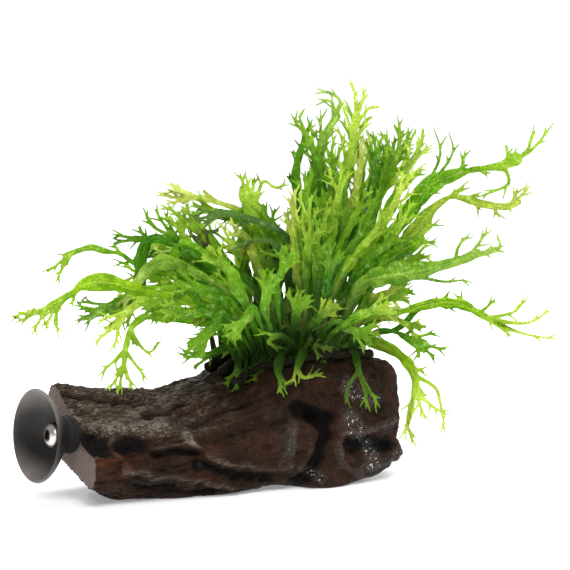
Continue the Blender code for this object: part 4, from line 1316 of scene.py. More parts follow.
# the fronds that have CAD nodes, in the order of their numbers; the values are the fields of Frond
FRONDS = (
    # left, from the lowest to the highest
    Frond("front", 6, -14, 3.6, ((-16, -25), (-23.5, -25), (-30, -28.5), (-35, -29.8)), ((1, (-43, -28)), (1,
     (-43.3, -30.7)), (.8, (-39, -35.3))), 30, (-11, -29)),
    Frond("front", 9.5, -32, 4, ((-13, -25), (-19, -21), (-25, -15.5), (-29, -14.5)), ((1, (-38.6, -23)),
     (.9, (-25, -18), (-20, -22)), (1, (-36, -12))), 28, (-8, -29)),
    Frond("front", 15, -34, (1.8, 2, 3.2, 4.2, 3.6, 2.6, 2), ((-12, -20.5), (-25, -17.5), (-38, -15), (-50,
     -13.8), (-59, -13.5), (-64.5, -18), (-67, -26), (-68, -36)), ((1, (-74, -44.5)), (1, (-70.5, -46)),
     (.97, (-64, -44.5)), (.9, (-79, -38.5)), (.9, (-61, -36), (-57.5, -40.5)), (.8, (-58, -28.3), (-52,
     -23.5)))),
    Frond("front", 18.5, -42, (1.8, 2, 2.2, 2.4, 2.6, 5.5, 7, 2.4, 3), ((-16, -17.5), (-34, -10), (-50, -5),
     (-64, -1.5), (-75, 1.2), (-85, 0), (-90, -4), (-97, -7.5), (-103, -12)), ((1, (-116, -13.5)), (1,
     (-114.5, -16.5)), (.98, (-109, -13), (-106, -10)), (.97, (-107, -21.5)), (.93, (-101.7, -20)), (.9,
     (-97, -16), (-92, -20.5)))),
    Frond("front", 21.5, -27, 6, ((-12, -15.5), (-28, -9), (-44, -6), (-57, -6), (-66, -11), (-71, -18)),
     ((1, (-76.5, -19)), (1, (-81, -24.8)), (1, (-72, -27.6)), (.9, (-79, -15)))),
    Frond("middle", 15, -20, (1.8, 2.2, 3.4, 4, 5, 5, 4), ((-14, -8), (-32, 8), (-48, 18), (-57, 19), (-61,
     10), (-61.5, 0), (-66, -6), (-74, -9.5), (-80, -12)), ((1, (-89.3, -8.5)), (1, (-85, -17)), (.97, (-89,
     -15.3)), (.93, (-85, -7), (-83, -4.5)), (.85, (-74, -14.5)))),
    Frond("middle", 4, -14, 6, ((-24, -16), (-33, -9), (-45, -3.5), (-54, -2)), ((1, (-64, -5)), (1, (-62,
     -1)), (.8, (-52, -9)))),
    Frond("middle", 11, -10, 8, ((-18, -10), (-29, -1), (-42, 5), (-52, 7)), ((1, (-60, 3.5)), (1, (-61, 8)),
     (.9, (-56, 11.5)))),
    Frond("middle", 7.5, 2, (1.8, 2.4, 3.5, 3, 3.8, 1.6, 2.6, 1.4), ((-21, -13), (-36, 0), (-54, 6), (-64,
     9.5), (-69, 13), (-76, 14.3), (-82, 15.8), (-89, 13.5), (-93, 11)), ((1, (-100.3, 5.2)), (1, (-97,
     .5)))),
    Frond("middle", 19, 5, 7, ((-10, -8), (-21, 5), (-34, 12), (-45, 15)), ((1, (-57, 18)), (1, (-55.5,
     13.5)), (.8, (-44, 8)), (.9, (-52, 10.5)))),
    Frond("back", 0, 8, 5.5, ((-33, -14), (-42, 2), (-52, 13), (-58, 18.5), (-63, 19.5)), ((1, (-72.7,
     21.3)), (1, (-72.2, 17.8)), (.8, (-73, 8)), (.9, (-62, 24.5)))),
    Frond("back", 7, 14, 6, ((-26, -8), (-32, 7), (-41, 16), (-48, 21)), ((1, (-56, 25), (-59.7, 32.5)), (1,
     (-52, 27), (-55, 32.3)), (.95, (-51, 31)))),
    Frond("back", 10, 21, 7, ((-23, -5), (-27, 11), (-34, 21), (-40, 27)), ((1, (-42, 34.8)), (1, (-47, 31),
     (-53, 34)), (.9, (-49, 27)))),
    Frond("back", 13, 30, (1.8, 2.2, 3, 2.2, 3.6), ((-19, 0), (-17, 18), (-18, 30), (-26, 34), (-34, 36.3),
     (-41, 37.3)), ((1, (-48.6, 43.2)), (1, (-49.3, 40.3)), (.95, (-48, 37), (-54.7, 39.7)), (.95, (-51,
     34)))),
    # middle, leaning left
    Frond("middle", 22.5, -1, 5.5, ((-7, -8), (-12, 8), (-16, 19), (-20, 22.5)), ((1, (-23.3, 26.8)), (.9,
     (-24, 22)))),
    Frond("middle", 26, 7, (1.8, 1.8, 3, 6, 8, 8, 6), ((-3, -10), (-6, 8), (-10.5, 24), (-15, 35), (-17,
     40)), ((1, (-19, 47.3)), (.9, (-12.7, 45.5)), (.85, (-9.5, 43.3), (-4.3, 41), (-.6, 42.5), (0, 46)))),
    Frond("middle", 29.5, -10, 5, ((1, -8), (2.5, 5), (-1, 14), (-6, 19)), ((1, (-14, 18.7), (-22, 14.5)),
     (.9, (-10, 12)))),
    Frond("back", 24.5, 8, 5, ((-7, -8), (-3, 6), (-1, 17), (-6, 25.5), (-12, 29.5), (-22, 30.5)), ((1, (-30,
     31.5), (-37, 30.5)), (1, (-33, 27)), (.9, (-27, 27.3)))),
    # middle, upright, from the front to the back
    Frond("front", 35, -8, 8, ((8, -12), (6, 6), (4.5, 20), (4, 30)), ((1, (4, 40.5)), (1, (1.5, 37)), (.8,
     (-.5, 29.5)))),
    Frond("front", 38.5, -2, 7.5, ((13, -12), (13, 4), (11.5, 18), (9.5, 28)), ((1, (5.5, 39)), (1, (11,
     38)), (.9, (14, 33)))),
    Frond("middle", 33.5, 10, 7.5, ((6, -8), (9, 12), (10, 28), (8.5, 37)), ((1, (5, 44.5)), (1, (8.5,
     48.5)), (1, (11.5, 49)))),
    Frond("middle", 38, 6, 7, ((11, -8), (17, 12), (21, 30), (23, 40)), ((1, (18, 49)), (1, (24, 52)), (1,
     (27, 48)))),
    Frond("middle", 43, 2, 7.5, ((17, -8), (26, 8), (32, 20), (36, 31)), ((1, (36, 42)), (1, (40, 41)), (.9,
     (31, 36)))),
    Frond("back", 28.5, 24, (1.8, 1.8, 3.2, 2.8, 1), ((-3, -4), (4, 20), (9, 38), (12, 50), (12, 57), (9.5,
     62.5)), ((1, (5.5, 67), (2.4, 72.2)), (.97, (6.3, 70), (8.3, 74.3)), (.88, (11, 69.3)))),
    Frond("back", 32, 34, (1.8, 1.8, 3.6, 3.8, 2.6), ((1, -4), (8.5, 22), (12.5, 42), (14.5, 56), (18, 65),
     (22, 71)), ((1, (23, 78), (12.5, 83.2)), (1, (20, 76.5), (13.5, 78.5)), (.85, (15, 74)), (1, (22.5,
     76)))),
    Frond("back", 38.5, 30, (1.8, 2, 4.4, 4.2, 2.8), ((6, -4), (16, 20), (23, 38), (27, 52), (29, 63), (30,
     71)), ((1, (29.5, 79), (27.8, 87)), (1, (33, 79), (34.5, 83.5)), (.95, (35, 74), (39.5, 75.3)), (.88,
     (36, 71)), (.9, (24, 78)))),
    Frond("back", 42, 38, 6.5, ((10, -4), (20, 18), (28, 34), (33, 47)), ((1, (31, 61)), (1, (36, 60.5)),
     (.9, (27, 57)))),
    Frond("back", 48.5, 20, 5.5, ((18, -4), (27, 16), (34, 34), (38, 48), (39, 56)), ((1, (37, 64.7)), (1,
     (41.5, 59)), (.9, (34, 62)))),
    Frond("back", 52, 27, 6.5, ((21, -4), (31, 18), (38.5, 36), (45, 50), (48, 56)), ((1, (40, 65)), (1,
     (48.5, 63), (47.2, 71.4)), (1, (50, 65.5)), (.9, (42, 57.5)))),
    Frond("back", 55.5, 34, 6.5, ((25, -4), (37, 18), (46, 36), (52, 50)), ((1, (53, 61), (55.4, 66)), (1,
     (57.5, 60), (58.5, 65.5)), (1, (60, 58.7)), (.85, (58.5, 49)))),
    # right, from the top to the bottom
    Frond("middle", 48, 8, (1.8, 2, 3.6, 6, 6.5, 7, 2.4, 5), ((22, -8), (37, 12), (50, 28), (60, 41), (70,
     46), (80, 48.7), (90, 50), (97, 53)), ((1, (102, 57), (105, 67.5)), (1, (104, 57), (113.3, 68.5)), (.98,
     (93.5, 58.8)), (.95, (94.3, 43), (88, 39.5), (80.5, 36.8)), (.58, (65, 53), (62.6, 66.5)), (.62, (70,
     54), (69, 64.5)), (.8, (76, 57)))),
    Frond("middle", 52, -6, (1.8, 2, 4, 6, 6.5, 2, 3.4, 3), ((26, -9), (41, 6), (54, 22), (62, 32), (69, 37),
     (76, 36.3), (84, 34), (93, 33), (98, 35)), ((1, (103.5, 41.7)), (.97, (98, 41)), (.9, (90, 28.5)), (.82,
     (82.5, 31.5)), (.6, (77.5, 44)))),
    Frond("front", 44.5, -14, (1.8, 2.2, 4.5, 7, 5), ((21, -11), (34, 2), (47, 13), (57, 19)), ((1, (64,
     18)), (1, (61, 25)), (.9, (65.5, 28)), (.8, (59, 12)))),
    Frond("front", 41.5, -5, 6, ((17, -12), (24, 4), (32, 15), (39, 24)), ((1, (46, 30)), (1, (41, 32)), (.9,
     (47, 25)))),
    Frond("front", 47.5, -34, (1.8, 1.8, 3, 7, 9, 7.5, 4.2, 3), ((24, -17), (28, -6), (34, 1.5), (46, 4.5),
     (58, 6.5), (70, 9.3), (79, 12)), ((1, (88, 15.5), (92, 16.3)), (.98, (84, 21), (85, 25)), (.9, (73, 16),
     (78, 22)), (.98, (90, 15), (89, 21)), (.62, (66, 1.5), (75, 2), (80, .4)))),
    Frond("front", 51, -32, 5, ((28, -19), (38, -13.5), (48, -11.5), (57, -9), (66, -7.3), (74, -8), (81,
     -11.5), (87, -15)), ((1, (96, -19), (105, -21.5), (116, -23)), (1, (97, -11), (101, -4)), (1, (102,
     -16), (115, -8)), (.92, (89, -5.5)), (1, (96, -22)), (.8, (73, -4.5)))),
    Frond("front", 58, -38, (1.8, 2.6, 2, 2.4, 5), ((33, -23), (40, -19.2), (47, -20), (53, -23.3), (58,
     -25.5)), ((1, (68, -27.3)), (1, (63, -31)), (.8, (64, -20)), (.75, (56, -16)), (.95, (56, -30.5)))),
    Frond("front", 61, -34, (1.8, 4.5, 4.6, 4.6, 3), ((40, -25), (47, -28.5), (52.5, -34), (55, -40), (54.5,
     -46)), ((1, (52.5, -57), (48, -65)), (1, (51.5, -58), (55.5, -69)), (.95, (62, -51), (69, -55)), (.95,
     (59, -57)), (.7, (58.5, -36.5)), (.8, (63, -43), (65.5, -50), (67.5, -63)))),
    # front, short ones that lean over the wood
    Frond("front", 29, -34, 4.5, ((7, -24), (8, -21), (8, -18.5)), ((1, (3, -5.8)), (1, (-1.8, -16.8)), (.9,
     (16, -17), (22, -13.3)), (1, (9, -7)), (.7, (14, -24))), 24, (6, -28)),
    Frond("front", 26.5, -34, 3, ((3, -24), (-1, -21.5), (-4, -21.5)), ((1, (-7, -24), (-2, -27)), (1, (-11,
     -19.5))), 12, (4, -28)),
    Frond("front", 24, -34, 5, ((1, -26), (-2, -31), (-3, -36), (-2, -39)), ((1, (-2, -45.5)), (1, (1,
     -42))), 12, (2, -28)),
    Frond("front", 32, -36, 4, ((9, -25.5), (7, -30), (5, -35)), ((1, (8, -39), (16, -37)), (1, (3, -41))),
     9, (9, -28)),
    Frond("front", 54.5, -17, 3.6, ((28.5, -25.5), (30, -31), (31.5, -38)), ((1, (34, -46), (34, -52)), (.95,
     (36.5, -46), (40, -51.5)), (.9, (27, -42), (25.3, -50.5))), 7, (28.5, -26.5)),
    # back, behind the others
    Frond("back", 3.5, 44, 7, ((-29, -12), (-35, 0), (-41, 8), (-47, 9)), ((1, (-54, 12)), (1, (-53, 6)),
     (.8, (-44, 15)))),
    Frond("back", 16.5, 52, 7.5, ((-16, -2), (-18, 9), (-23, 18)), ((1, (-32, 24)), (1, (-27, 26)), (.9,
     (-31, 18)))),
    Frond("back", 20.5, 60, 7, ((-11, -4), (-10, 8), (-9, 18)), ((1, (-12, 27)), (1, (-8, 28)), (.9, (-14,
     22)))),
    Frond("back", 35, 62, 7.5, ((3, 0), (12, 18), (16.5, 32)), ((1, (16, 44)), (1, (20, 45)), (1, (23,
     42)))),
    Frond("back", 45, 54, 7.5, ((14, -4), (23, 14), (30, 28)), ((1, (33, 42)), (1, (29, 41)), (.9, (37,
     34)))),
    Frond("back", 59, 48, 7, ((28, -6), (39, 7), (47, 16)), ((1, (55, 25)), (1, (56, 19)), (.9, (48, 25)))),
    Frond("back", 62.5, 60, 6.5, ((31, -13), (39, -7), (46, -4)), ((1, (54, -2)), (1, (51, 3)), (.9, (53,
     -7)))),
)

# the smaller fronds between them; each row holds the first six fields of Frond
INNER = {Age.PALE: (
    ("middle", 6, -29, (1.6, 1.8, 2.6, 4.6, 6.4, 3), ((-24, -4), (-36, 4), (-46, 9), (-54, 9), (-60, 4),
     (-64, -2)), ((1, (-70, -8), (-74, -14)), (.9, (-66, -6), (-69, -13)), (.9, (-67, -2), (-72, -3)))),
), Age.YOUNG: (
    ("front", 11, -30, 3.4, ((-14, -19), (-19, -14), (-25, -10), (-29, -8)), ((1, (-34, -9), (-38, -8)), (1,
     (-32, -12), (-36, -14)), (.9, (-30, -16), (-34, -20), (-38, -23)), (0.8, (-22, -13), (-18, -14)))),
    ("front", 7, -33, 3.4, ((-16, -20), (-20, -16), (-26, -12), (-30, -12)), 3),
    ("front", 30, -32, 2.9, ((8, -22), (10, -24), (12, -25)), 3),
    ("middle", 48, -6, 1.3, ((20, -14), (24, -5), (29, -2), (36, -4)), ((1, (44, -6), (49, -10)),)),
    ("middle", 50, 4, 5, ((25, -6), (36, 17), (48, 38)), ((1, (52, 45), (56, 49)), (1, (49, 44), (50, 49)),
     (.9, (50, 36), (55, 40)))),
    ("back", 54, 36, 3.4, ((20, 23), (25, 42), (26, 54)), ((1, (24, 61), (22, 67)), (1, (28, 62), (28, 68)),
     (.9, (29, 58), (32, 64)), (.9, (22, 52), (19, 56)))),
    ("back", 64, 32, 3.8, ((36, 30), (46, 45), (54, 52)), ((1, (56, 58), (56, 64)), (1, (58, 56), (62, 59)),
     (.9, (52, 56), (50, 61)), (0.8, (56, 48), (61, 48)))),
), Age.DEEP: (
    ("middle", 14, 4, 4.2, ((-20, -2), (-30, 6), (-40, 11), (-48, 14)), 4),
    ("front", 10, -18, 5.9, ((-17, -14), (-26, -9), (-36, -7), (-48, -6)), 3),
    ("front", 17, -35, 3.8, ((-6, -28), (-9, -32), (-10, -36)), 2),
    ("middle", 41, -4, 4.6, ((13, -6), (14, 14), (14, 34)), 2),
    ("back", 52, 22, 3.8, ((17, 19), (20, 36), (20, 44)), ((1, (16, 46), (14, 48)), (1, (19, 50), (17, 54)),
     (.9, (23, 44), (26, 49)))),
    ("back", 62, 30, 3.8, ((30, 28), (39, 44), (45, 52)), ((1, (46, 59), (46, 64)), (1, (50, 56), (52, 62)),
     (.9, (42, 56), (40, 61)), (0.8, (46, 48), (52, 50)))),
    ("middle", 28, 4, 4.6, ((-2, -6), (-6, 7), (-7, 18)), 2),
    ("back", 64, 22, 3.4, ((46, -19), (56, -10), (64, -8)), 2),
    ("front", 25, -30, 2.9, ((2, -20), (0, -14), (-1, -9)), 3),
    ("front", 3, -35, 2.9, ((-18, -28), (-20, -32), (-20, -36)), 3),
    ("front", 28, -36, 3.4, ((6, -28), (4, -32), (6, -35)), 3),
    ("front", 36, -34, 3.4, ((13, -28), (16, -32), (17, -35)), 3),
    ("front", 38, -30, 3.8, ((16, -26), (19, -22), (22, -19)), 2),
    ("front", 7, -34, 4.2, ((-12, -28), (-16, -26), (-20, -26)), 2),
    ("front", 31, -12, 1.7, ((10, -19), (12, -2), (13, 10)), 2),
    ("middle", 31, 4, 2.1, ((2, -10), (0, 4), (-1, 14)), 2),
    ("front", 0, -16, 2.1, ((-26, -17), (-35, -6), (-40, 0)), 2),
    ("front", 56, -20, 2.1, ((34, -17), (42, -8), (48, -4)), 2),
    ("middle", 55, 4, 2.1, ((29, -10), (38, 6), (46, 14)), 2),
), Age.MATURE: (
    ("middle", 18, 14, 3.8, ((-26, -2), (-36, 8), (-42, 17), (-44, 25)), 3),
    ("front", 8, -26, 4.6, ((-16, -17), (-25, -14), (-36, -14), (-44, -12)), 3),
    ("middle", 45, 2, 5, ((19, -6), (24, 17), (32, 34)), 3),
    ("front", 45, -6, 5, ((28, -10), (40, 12), (50, 28)), 3),
    ("front", 32, -10, 5, ((9, -14), (8, 7), (6, 25)), 2),
    ("back", 51, 30, 3.8, ((16, 23), (19, 40), (20, 52)), ((1, (17, 59), (14, 65)), (1, (20, 59), (22, 64)),
     (.9, (23, 56), (26, 61)), (.9, (16, 52), (13, 56)))),
    ("back", 56, 40, 3.4, ((22, 28), (28, 50), (29, 65)), ((1, (28, 72), (24, 76)), (1, (30, 72), (32, 78)),
     (.9, (33, 68), (36, 71)), (.9, (26, 66), (22, 70)))),
    ("back", 60, 42, 3.4, ((28, 30), (36, 45), (38, 54)), ((1, (36, 60), (34, 65)), (1, (40, 60), (42, 64)),
     (.9, (35, 54), (32, 56)))),
    ("back", 64, 36, 3.4, ((35, 34), (44, 48), (48, 56)), ((1, (48, 62), (46, 68)), (1, (51, 61), (54, 66)),
     (.9, (44, 56), (42, 61)), (.9, (50, 54), (54, 56)))),
    ("middle", 61, 10, 3.8, ((40, 14), (50, 30), (58, 38)), 2),
    ("front", 53, -16, 3.8, ((36, -2), (46, 7), (56, 12)), 2),
    ("middle", 25, 8, 5, ((-6, -2), (-12, 10), (-16, 20)), 3),
    ("back", 10, 18, 3.4, ((-30, -10), (-44, -2), (-56, 4)), ((1, (-64, 6), (-68, 10)), (1, (-64, 3), (-68,
     2)), (.9, (-60, 8), (-64, 12)))),
    ("middle", 6, -8, 2.9, ((-28, -16), (-40, -14), (-52, -12)), 3),
    ("front", 57, -30, 2.9, ((36, -16), (45, -14), (52, -17)), 3),
    ("front", 19, -28, 3.4, ((-4, -20), (-8, -14), (-12, -12)), 3),
    ("front", 13, -30, 4.2, ((-7, -24), (-6, -19), (-4, -14)), 3),
    ("front", 47, -26, 3.4, ((25, -26), (30, -22), (34, -20)), 2),
    ("front", 0, -30, 3.8, ((-19, -26), (-22, -22), (-25, -20)), 3),
), Age.OLD: (
    ("middle", 33, -17, 3.4, ((4, -6), (6, 10), (-1, 22), (-12, 27), (-24, 30), (-31, 29)), 3),
    ("back", 24, 22, 3.4, ((-21, 0), (-30, 12), (-35, 19), (-36, 24)), ((1, (-38, 28), (-36, 30)), (.9, (-33,
     22), (-27, 23)), (0.8, (-38, 19), (-40, 24)))),
), Age.YELLOW: (
    ("front", 48, -20, 3.8, ((28, -18), (35, -14), (42, -13)), 2),
    ("middle", 58, -4, 3.8, ((32, -9), (40, -4), (45, -3)), 2),
    ("back", 57, 28, 4.2, ((25, 23), (30, 40), (32, 52)), ((1, (32, 60), (30, 66)), (1, (34, 58), (36,
     64)))),
    ("back", 38, 12, 4.2, ((2, -2), (0, 12), (2, 25)), 2),
), Age.DEAD: (
    ("middle", 16, 6, 1.3, ((-20, -6), (-28, 10), (-32, 16)), 2),
)}


# ---- suction cup and screw ----

@dataclass
class SuctionCup:
    """The rubber cup and the screw that holds it to the sawn end."""

    seat: Point = (-70, 0, 28.1)    # mm
    rise: float = 4.0               # degrees
    turn: float = 6.0               # degrees, towards the front
    length: float = 18.0            # mm
    rim: float = 19.0               # mm, its radius
    neck: float = 7.5
    bore: float = 2.5
    dish_floor: float = 9.8
    head: float = 5.0
    head_height: float = 2.9
    shank: float = 1.9
    depth: float = 13.0             # mm of screw in the wood
    gap: float = 0.3
    recess: float = 2.3
    recess_depth: float = 1.6
    pitch: float = 1.5              # of the thread
    thread: float = 0.22            # its depth

    def matrix(self) -> Matrix:
        """Return the place of the cup's axis, which runs out of the wood to the rim."""
        tilt = Matrix.Rotation(-(math.pi / 2 - math.radians(self.rise)), 4, "Y")
        turn = Matrix.Rotation(math.radians(self.turn), 4, "Z")
        return Matrix.Translation(Vector(self.seat) * MM) @ turn @ tilt

    def turned(self, profile: Sequence[Point], sides: int) -> tuple[list, list]:
        """Spin a closed profile of (radius, height) in mm about the axis.

        Args:
            profile: its corners; one on the axis becomes one point.
            sides: how many steps go round.

        Returns:
            The points in metres, in place, and the faces.
        """
        verts, rings = [], []
        turns = np.arange(sides) * 2 * math.pi / sides
        for radius, height in profile:
            if radius < 1e-6:
                rings.append([len(verts)] * sides)
                verts.append((0, 0, height))
                continue
            rings.append(list(range(len(verts), len(verts) + sides)))
            verts += [(radius * math.cos(t), radius * math.sin(t), height) for t in turns]
        if profile[0][0] > 1e-6:
            rings.append(rings[0])
        faces = []
        for low, high in zip(rings, rings[1:]):
            for i in range(sides):
                j = (i + 1) % sides
                faces.append(tuple(dict.fromkeys((low[i], low[j], high[j], high[i]))))
        move = self.matrix()
        return [move @ (Vector(v) * MM) for v in verts], faces

    def build(self) -> list[bpy.types.Object]:
        """Make the cup and the screw."""
        return [self.build_cup(), self.build_screw()]

    def build_cup(self) -> bpy.types.Object:
        """Make the cup: a ribbed neck that flares into a thin dish with a rounded rim."""
        rim, neck, top = self.rim, self.neck, self.length
        foot = self.gap + neck * math.tan(math.radians(math.hypot(self.rise, self.turn)))
        outer = smooth_line([(neck, 4.6), (neck + 0.2, 6.2), (neck + 1.7, 8.3), (rim * 0.68, 11.3),
                             (rim * 0.88, 14.6), (rim - 0.45, top - 1.3), (rim - 0.02, top - 0.5)], 30)
        lip = smooth_line([(rim - 0.02, top - 0.5), (rim - 0.1, top - 0.12), (rim - 0.4, top),
                           (rim - 0.9, top - 0.06)], 8)
        dish = smooth_line([(rim - 0.9, top - 0.06), (rim * 0.9, top - 1.0), (rim * 0.75, top - 3.7),
                            (rim * 0.55, self.dish_floor + 1.95), (rim * 0.38, self.dish_floor + 0.6),
                            (self.head + 0.6, self.dish_floor)], 30)
        neck_side = [(self.bore, foot), (neck - 0.7, foot), (neck - 0.25, foot + 0.15), (neck, foot + 0.6),
                     (neck, foot + 1.6), (neck + 0.35, foot + 1.9), (neck + 0.35, foot + 2.6),
                     (neck, foot + 2.9)]
        profile = [*neck_side, *outer, *lip[1:], *dish[1:], (self.bore, self.dish_floor)]
        verts, faces = self.turned([tuple(map(float, q)) for q in profile], 120)
        piece = mesh_piece("cup_rubber", verts, faces, RubberFinish().dress(), sharp=40)
        outward(piece)
        return place_in_frame(piece, "rubber", "suction_cup")

    def build_screw(self) -> bpy.types.Object:
        """Make the screw: a domed head with a six-lobed recess on a threaded shank."""
        seat = self.dish_floor + self.gap
        sides, lobes = 96, 6
        turns = np.arange(sides) * 2 * math.pi / sides
        lobe = self.recess * (0.86 + 0.14 * np.cos(lobes * turns))
        top = seat + self.head_height
        level = np.ones(sides)
        rows = [(0.0 * level, -self.depth * level), (0.5 * level, (-self.depth + 0.6) * level),
                (self.shank * level, (-self.depth + 4) * level)]
        for z in np.arange(-self.depth + 4.3, seat - 3, 0.25):
            cut = self.thread * (0.5 + 0.5 * np.cos(2 * math.pi * z / self.pitch - turns))
            rows.append((self.shank - cut, z * level))
        rows += [(self.shank * level, seat * level), ((self.head - 0.15) * level, seat * level),
                 (self.head * level, (seat + 0.15) * level)]
        dome = self.head_height - 0.5
        for t in np.radians(np.linspace(0, 62, 14)):
            rows.append((self.head * math.cos(t) * level, (seat + 0.5 + dome * math.sin(t)) * level))
        edge = seat + 0.5 + dome * np.sin(np.arccos(lobe * 1.05 / self.head))
        rows.append((lobe * 1.05, edge))
        rows.append((lobe, edge - 0.12))
        rows.append((lobe * 0.97, (top - self.recess_depth) * level))
        verts = [(r * math.cos(t), r * math.sin(t), z) for rs, zs in rows for r, z, t in zip(rs, zs, turns)]
        verts.append((0, 0, top - self.recess_depth - 0.3))
        faces = []
        for row in range(len(rows) - 1):
            for i in range(sides):
                a, b = row * sides + i, row * sides + (i + 1) % sides
                faces.append((a, b, b + sides, a + sides))
        last = (len(rows) - 1) * sides
        faces += [(last + i, last + (i + 1) % sides, len(verts) - 1) for i in range(sides)]
        move = self.matrix()
        piece = mesh_piece("screw_steel", [move @ (Vector(v) * MM) for v in verts], faces,
                           SteelFinish().dress(), sharp=35)
        outward(piece)
        return place_in_frame(piece, "steel", "screw")


# ---- rhizomes and roots ----

@dataclass
class Rhizomes:
    """The creeping stems along the top of the wood, and the roots that tie them to it."""

    wood: Driftwood
    span: tuple = (-4.0, 66.0)      # mm along the wood
    radius: float = 2.3
    roots: int = 40                 # of each stem

    def build(self) -> None:
        """Make the three stems and the roots."""
        bark = RhizomeFinish("rhizome", (0.005, 0.008, 0.002), (0.009, 0.005, 0.0025)).dress()
        for number, name in enumerate(self.wood.rhizomes):
            self.build_stem(name, number, bark)
        self.build_roots()

    def build_stem(self, name: str, number: int, finish: bpy.types.Material) -> None:
        """Make one knobbly stem."""
        rings, sides = 150, 28
        lumps = Lumps(30 + number)
        along = np.linspace(*self.span, rings)
        line = np.array([self.wood.rhizome_middle(x, name) for x in along])
        end = np.minimum(along - self.span[0], self.span[1] - along)
        radii = self.radius * np.sqrt(np.clip(1 - (1 - np.clip(end / 2.2, 0, 1)) ** 2, 0.04, 1)) * MM
        verts, faces = tube(line, radii, sides)
        verts = np.array(verts)
        middle = np.repeat(line, sides, axis=0)
        out = verts - middle
        spots = verts / MM
        swell = 1 + 0.16 * lumps.rough(spots / (4, 2.5, 2.5), 3) - 0.03
        verts = middle + out * np.minimum(swell, 1.12)[:, None]
        piece = mesh_piece(f"rhizome_{name}_stem", verts, faces, finish)
        outward(piece)
        place_in_frame(piece, "rhizome", f"rhizome_{name}")

    def build_roots(self) -> None:
        """Make the fine dark roots, which run down over the wood from each stem."""
        chance = np.random.default_rng(61)
        bundle = Bundle()
        steps = 26
        rings, around = self.wood.worn.shape[:2]
        first, last = min(self.wood.sections), max(self.wood.sections)
        for y in self.wood.rhizomes.values():
            for _ in range(self.roots):
                x = chance.uniform(self.span[0] - 1, self.span[1])
                ring = (x - first) / (last - first) * (rings - 1 - self.wood.CAP)
                row = self.wood.worn[int(ring)]
                upper = np.where(row[:, 2] > row[:, 2].mean(), np.abs(row[:, 1] - y), 99)
                spot = float(np.argmin(upper))
                way = chance.choice((-1, 1)) if abs(y) < 1 else self.away(row, int(spot), y, around)
                reach = chance.uniform(6, 24 if abs(y) > 1 else 9)
                drift, points = chance.normal(0, 0.35), []
                place = np.array([ring, spot])
                for step in range(steps):
                    surface, out = self.surface(place)
                    lift = 2.0 * max(0, 1 - step / 5) + 0.10
                    points.append(surface + out * lift)
                    drift += chance.normal(0, 0.16)
                    drift *= 0.94
                    place = place + np.array((drift * 2.1, way * math.cos(drift))) * reach / steps * 1.9
                    place[0] = min(max(place[0], 2), rings - 20)
                line = smooth_line(points, steps) * MM
                thick = chance.uniform(0.10, 0.24) * MM
                verts, faces = tube(line, np.linspace(thick, thick * 0.35, len(line)), 5)
                bundle.add(verts, faces)
        piece = mesh_piece("roots", bundle.verts, bundle.faces,
                           RhizomeFinish("root", (0.008, 0.005, 0.002), (0.020, 0.010, 0.004)).dress())
        place_in_frame(piece, "rhizome")

    @staticmethod
    def away(row: np.ndarray, spot: int, y: float, around: int) -> int:
        """Return which way round the outline leads from the top down the side of y."""
        ahead = row[(spot + 12) % around]
        return 1 if (ahead[1] - row[spot][1]) * np.sign(y) > 0 else -1

    def surface(self, place: np.ndarray) -> tuple[np.ndarray, np.ndarray]:
        """Return the nearest point of the worn wood and the direction out of it."""
        spot = int(round(place[0])), int(round(place[1])) % self.wood.worn.shape[1]
        return self.wood.worn[spot], self.wood.out[spot]


# ---- studio ----

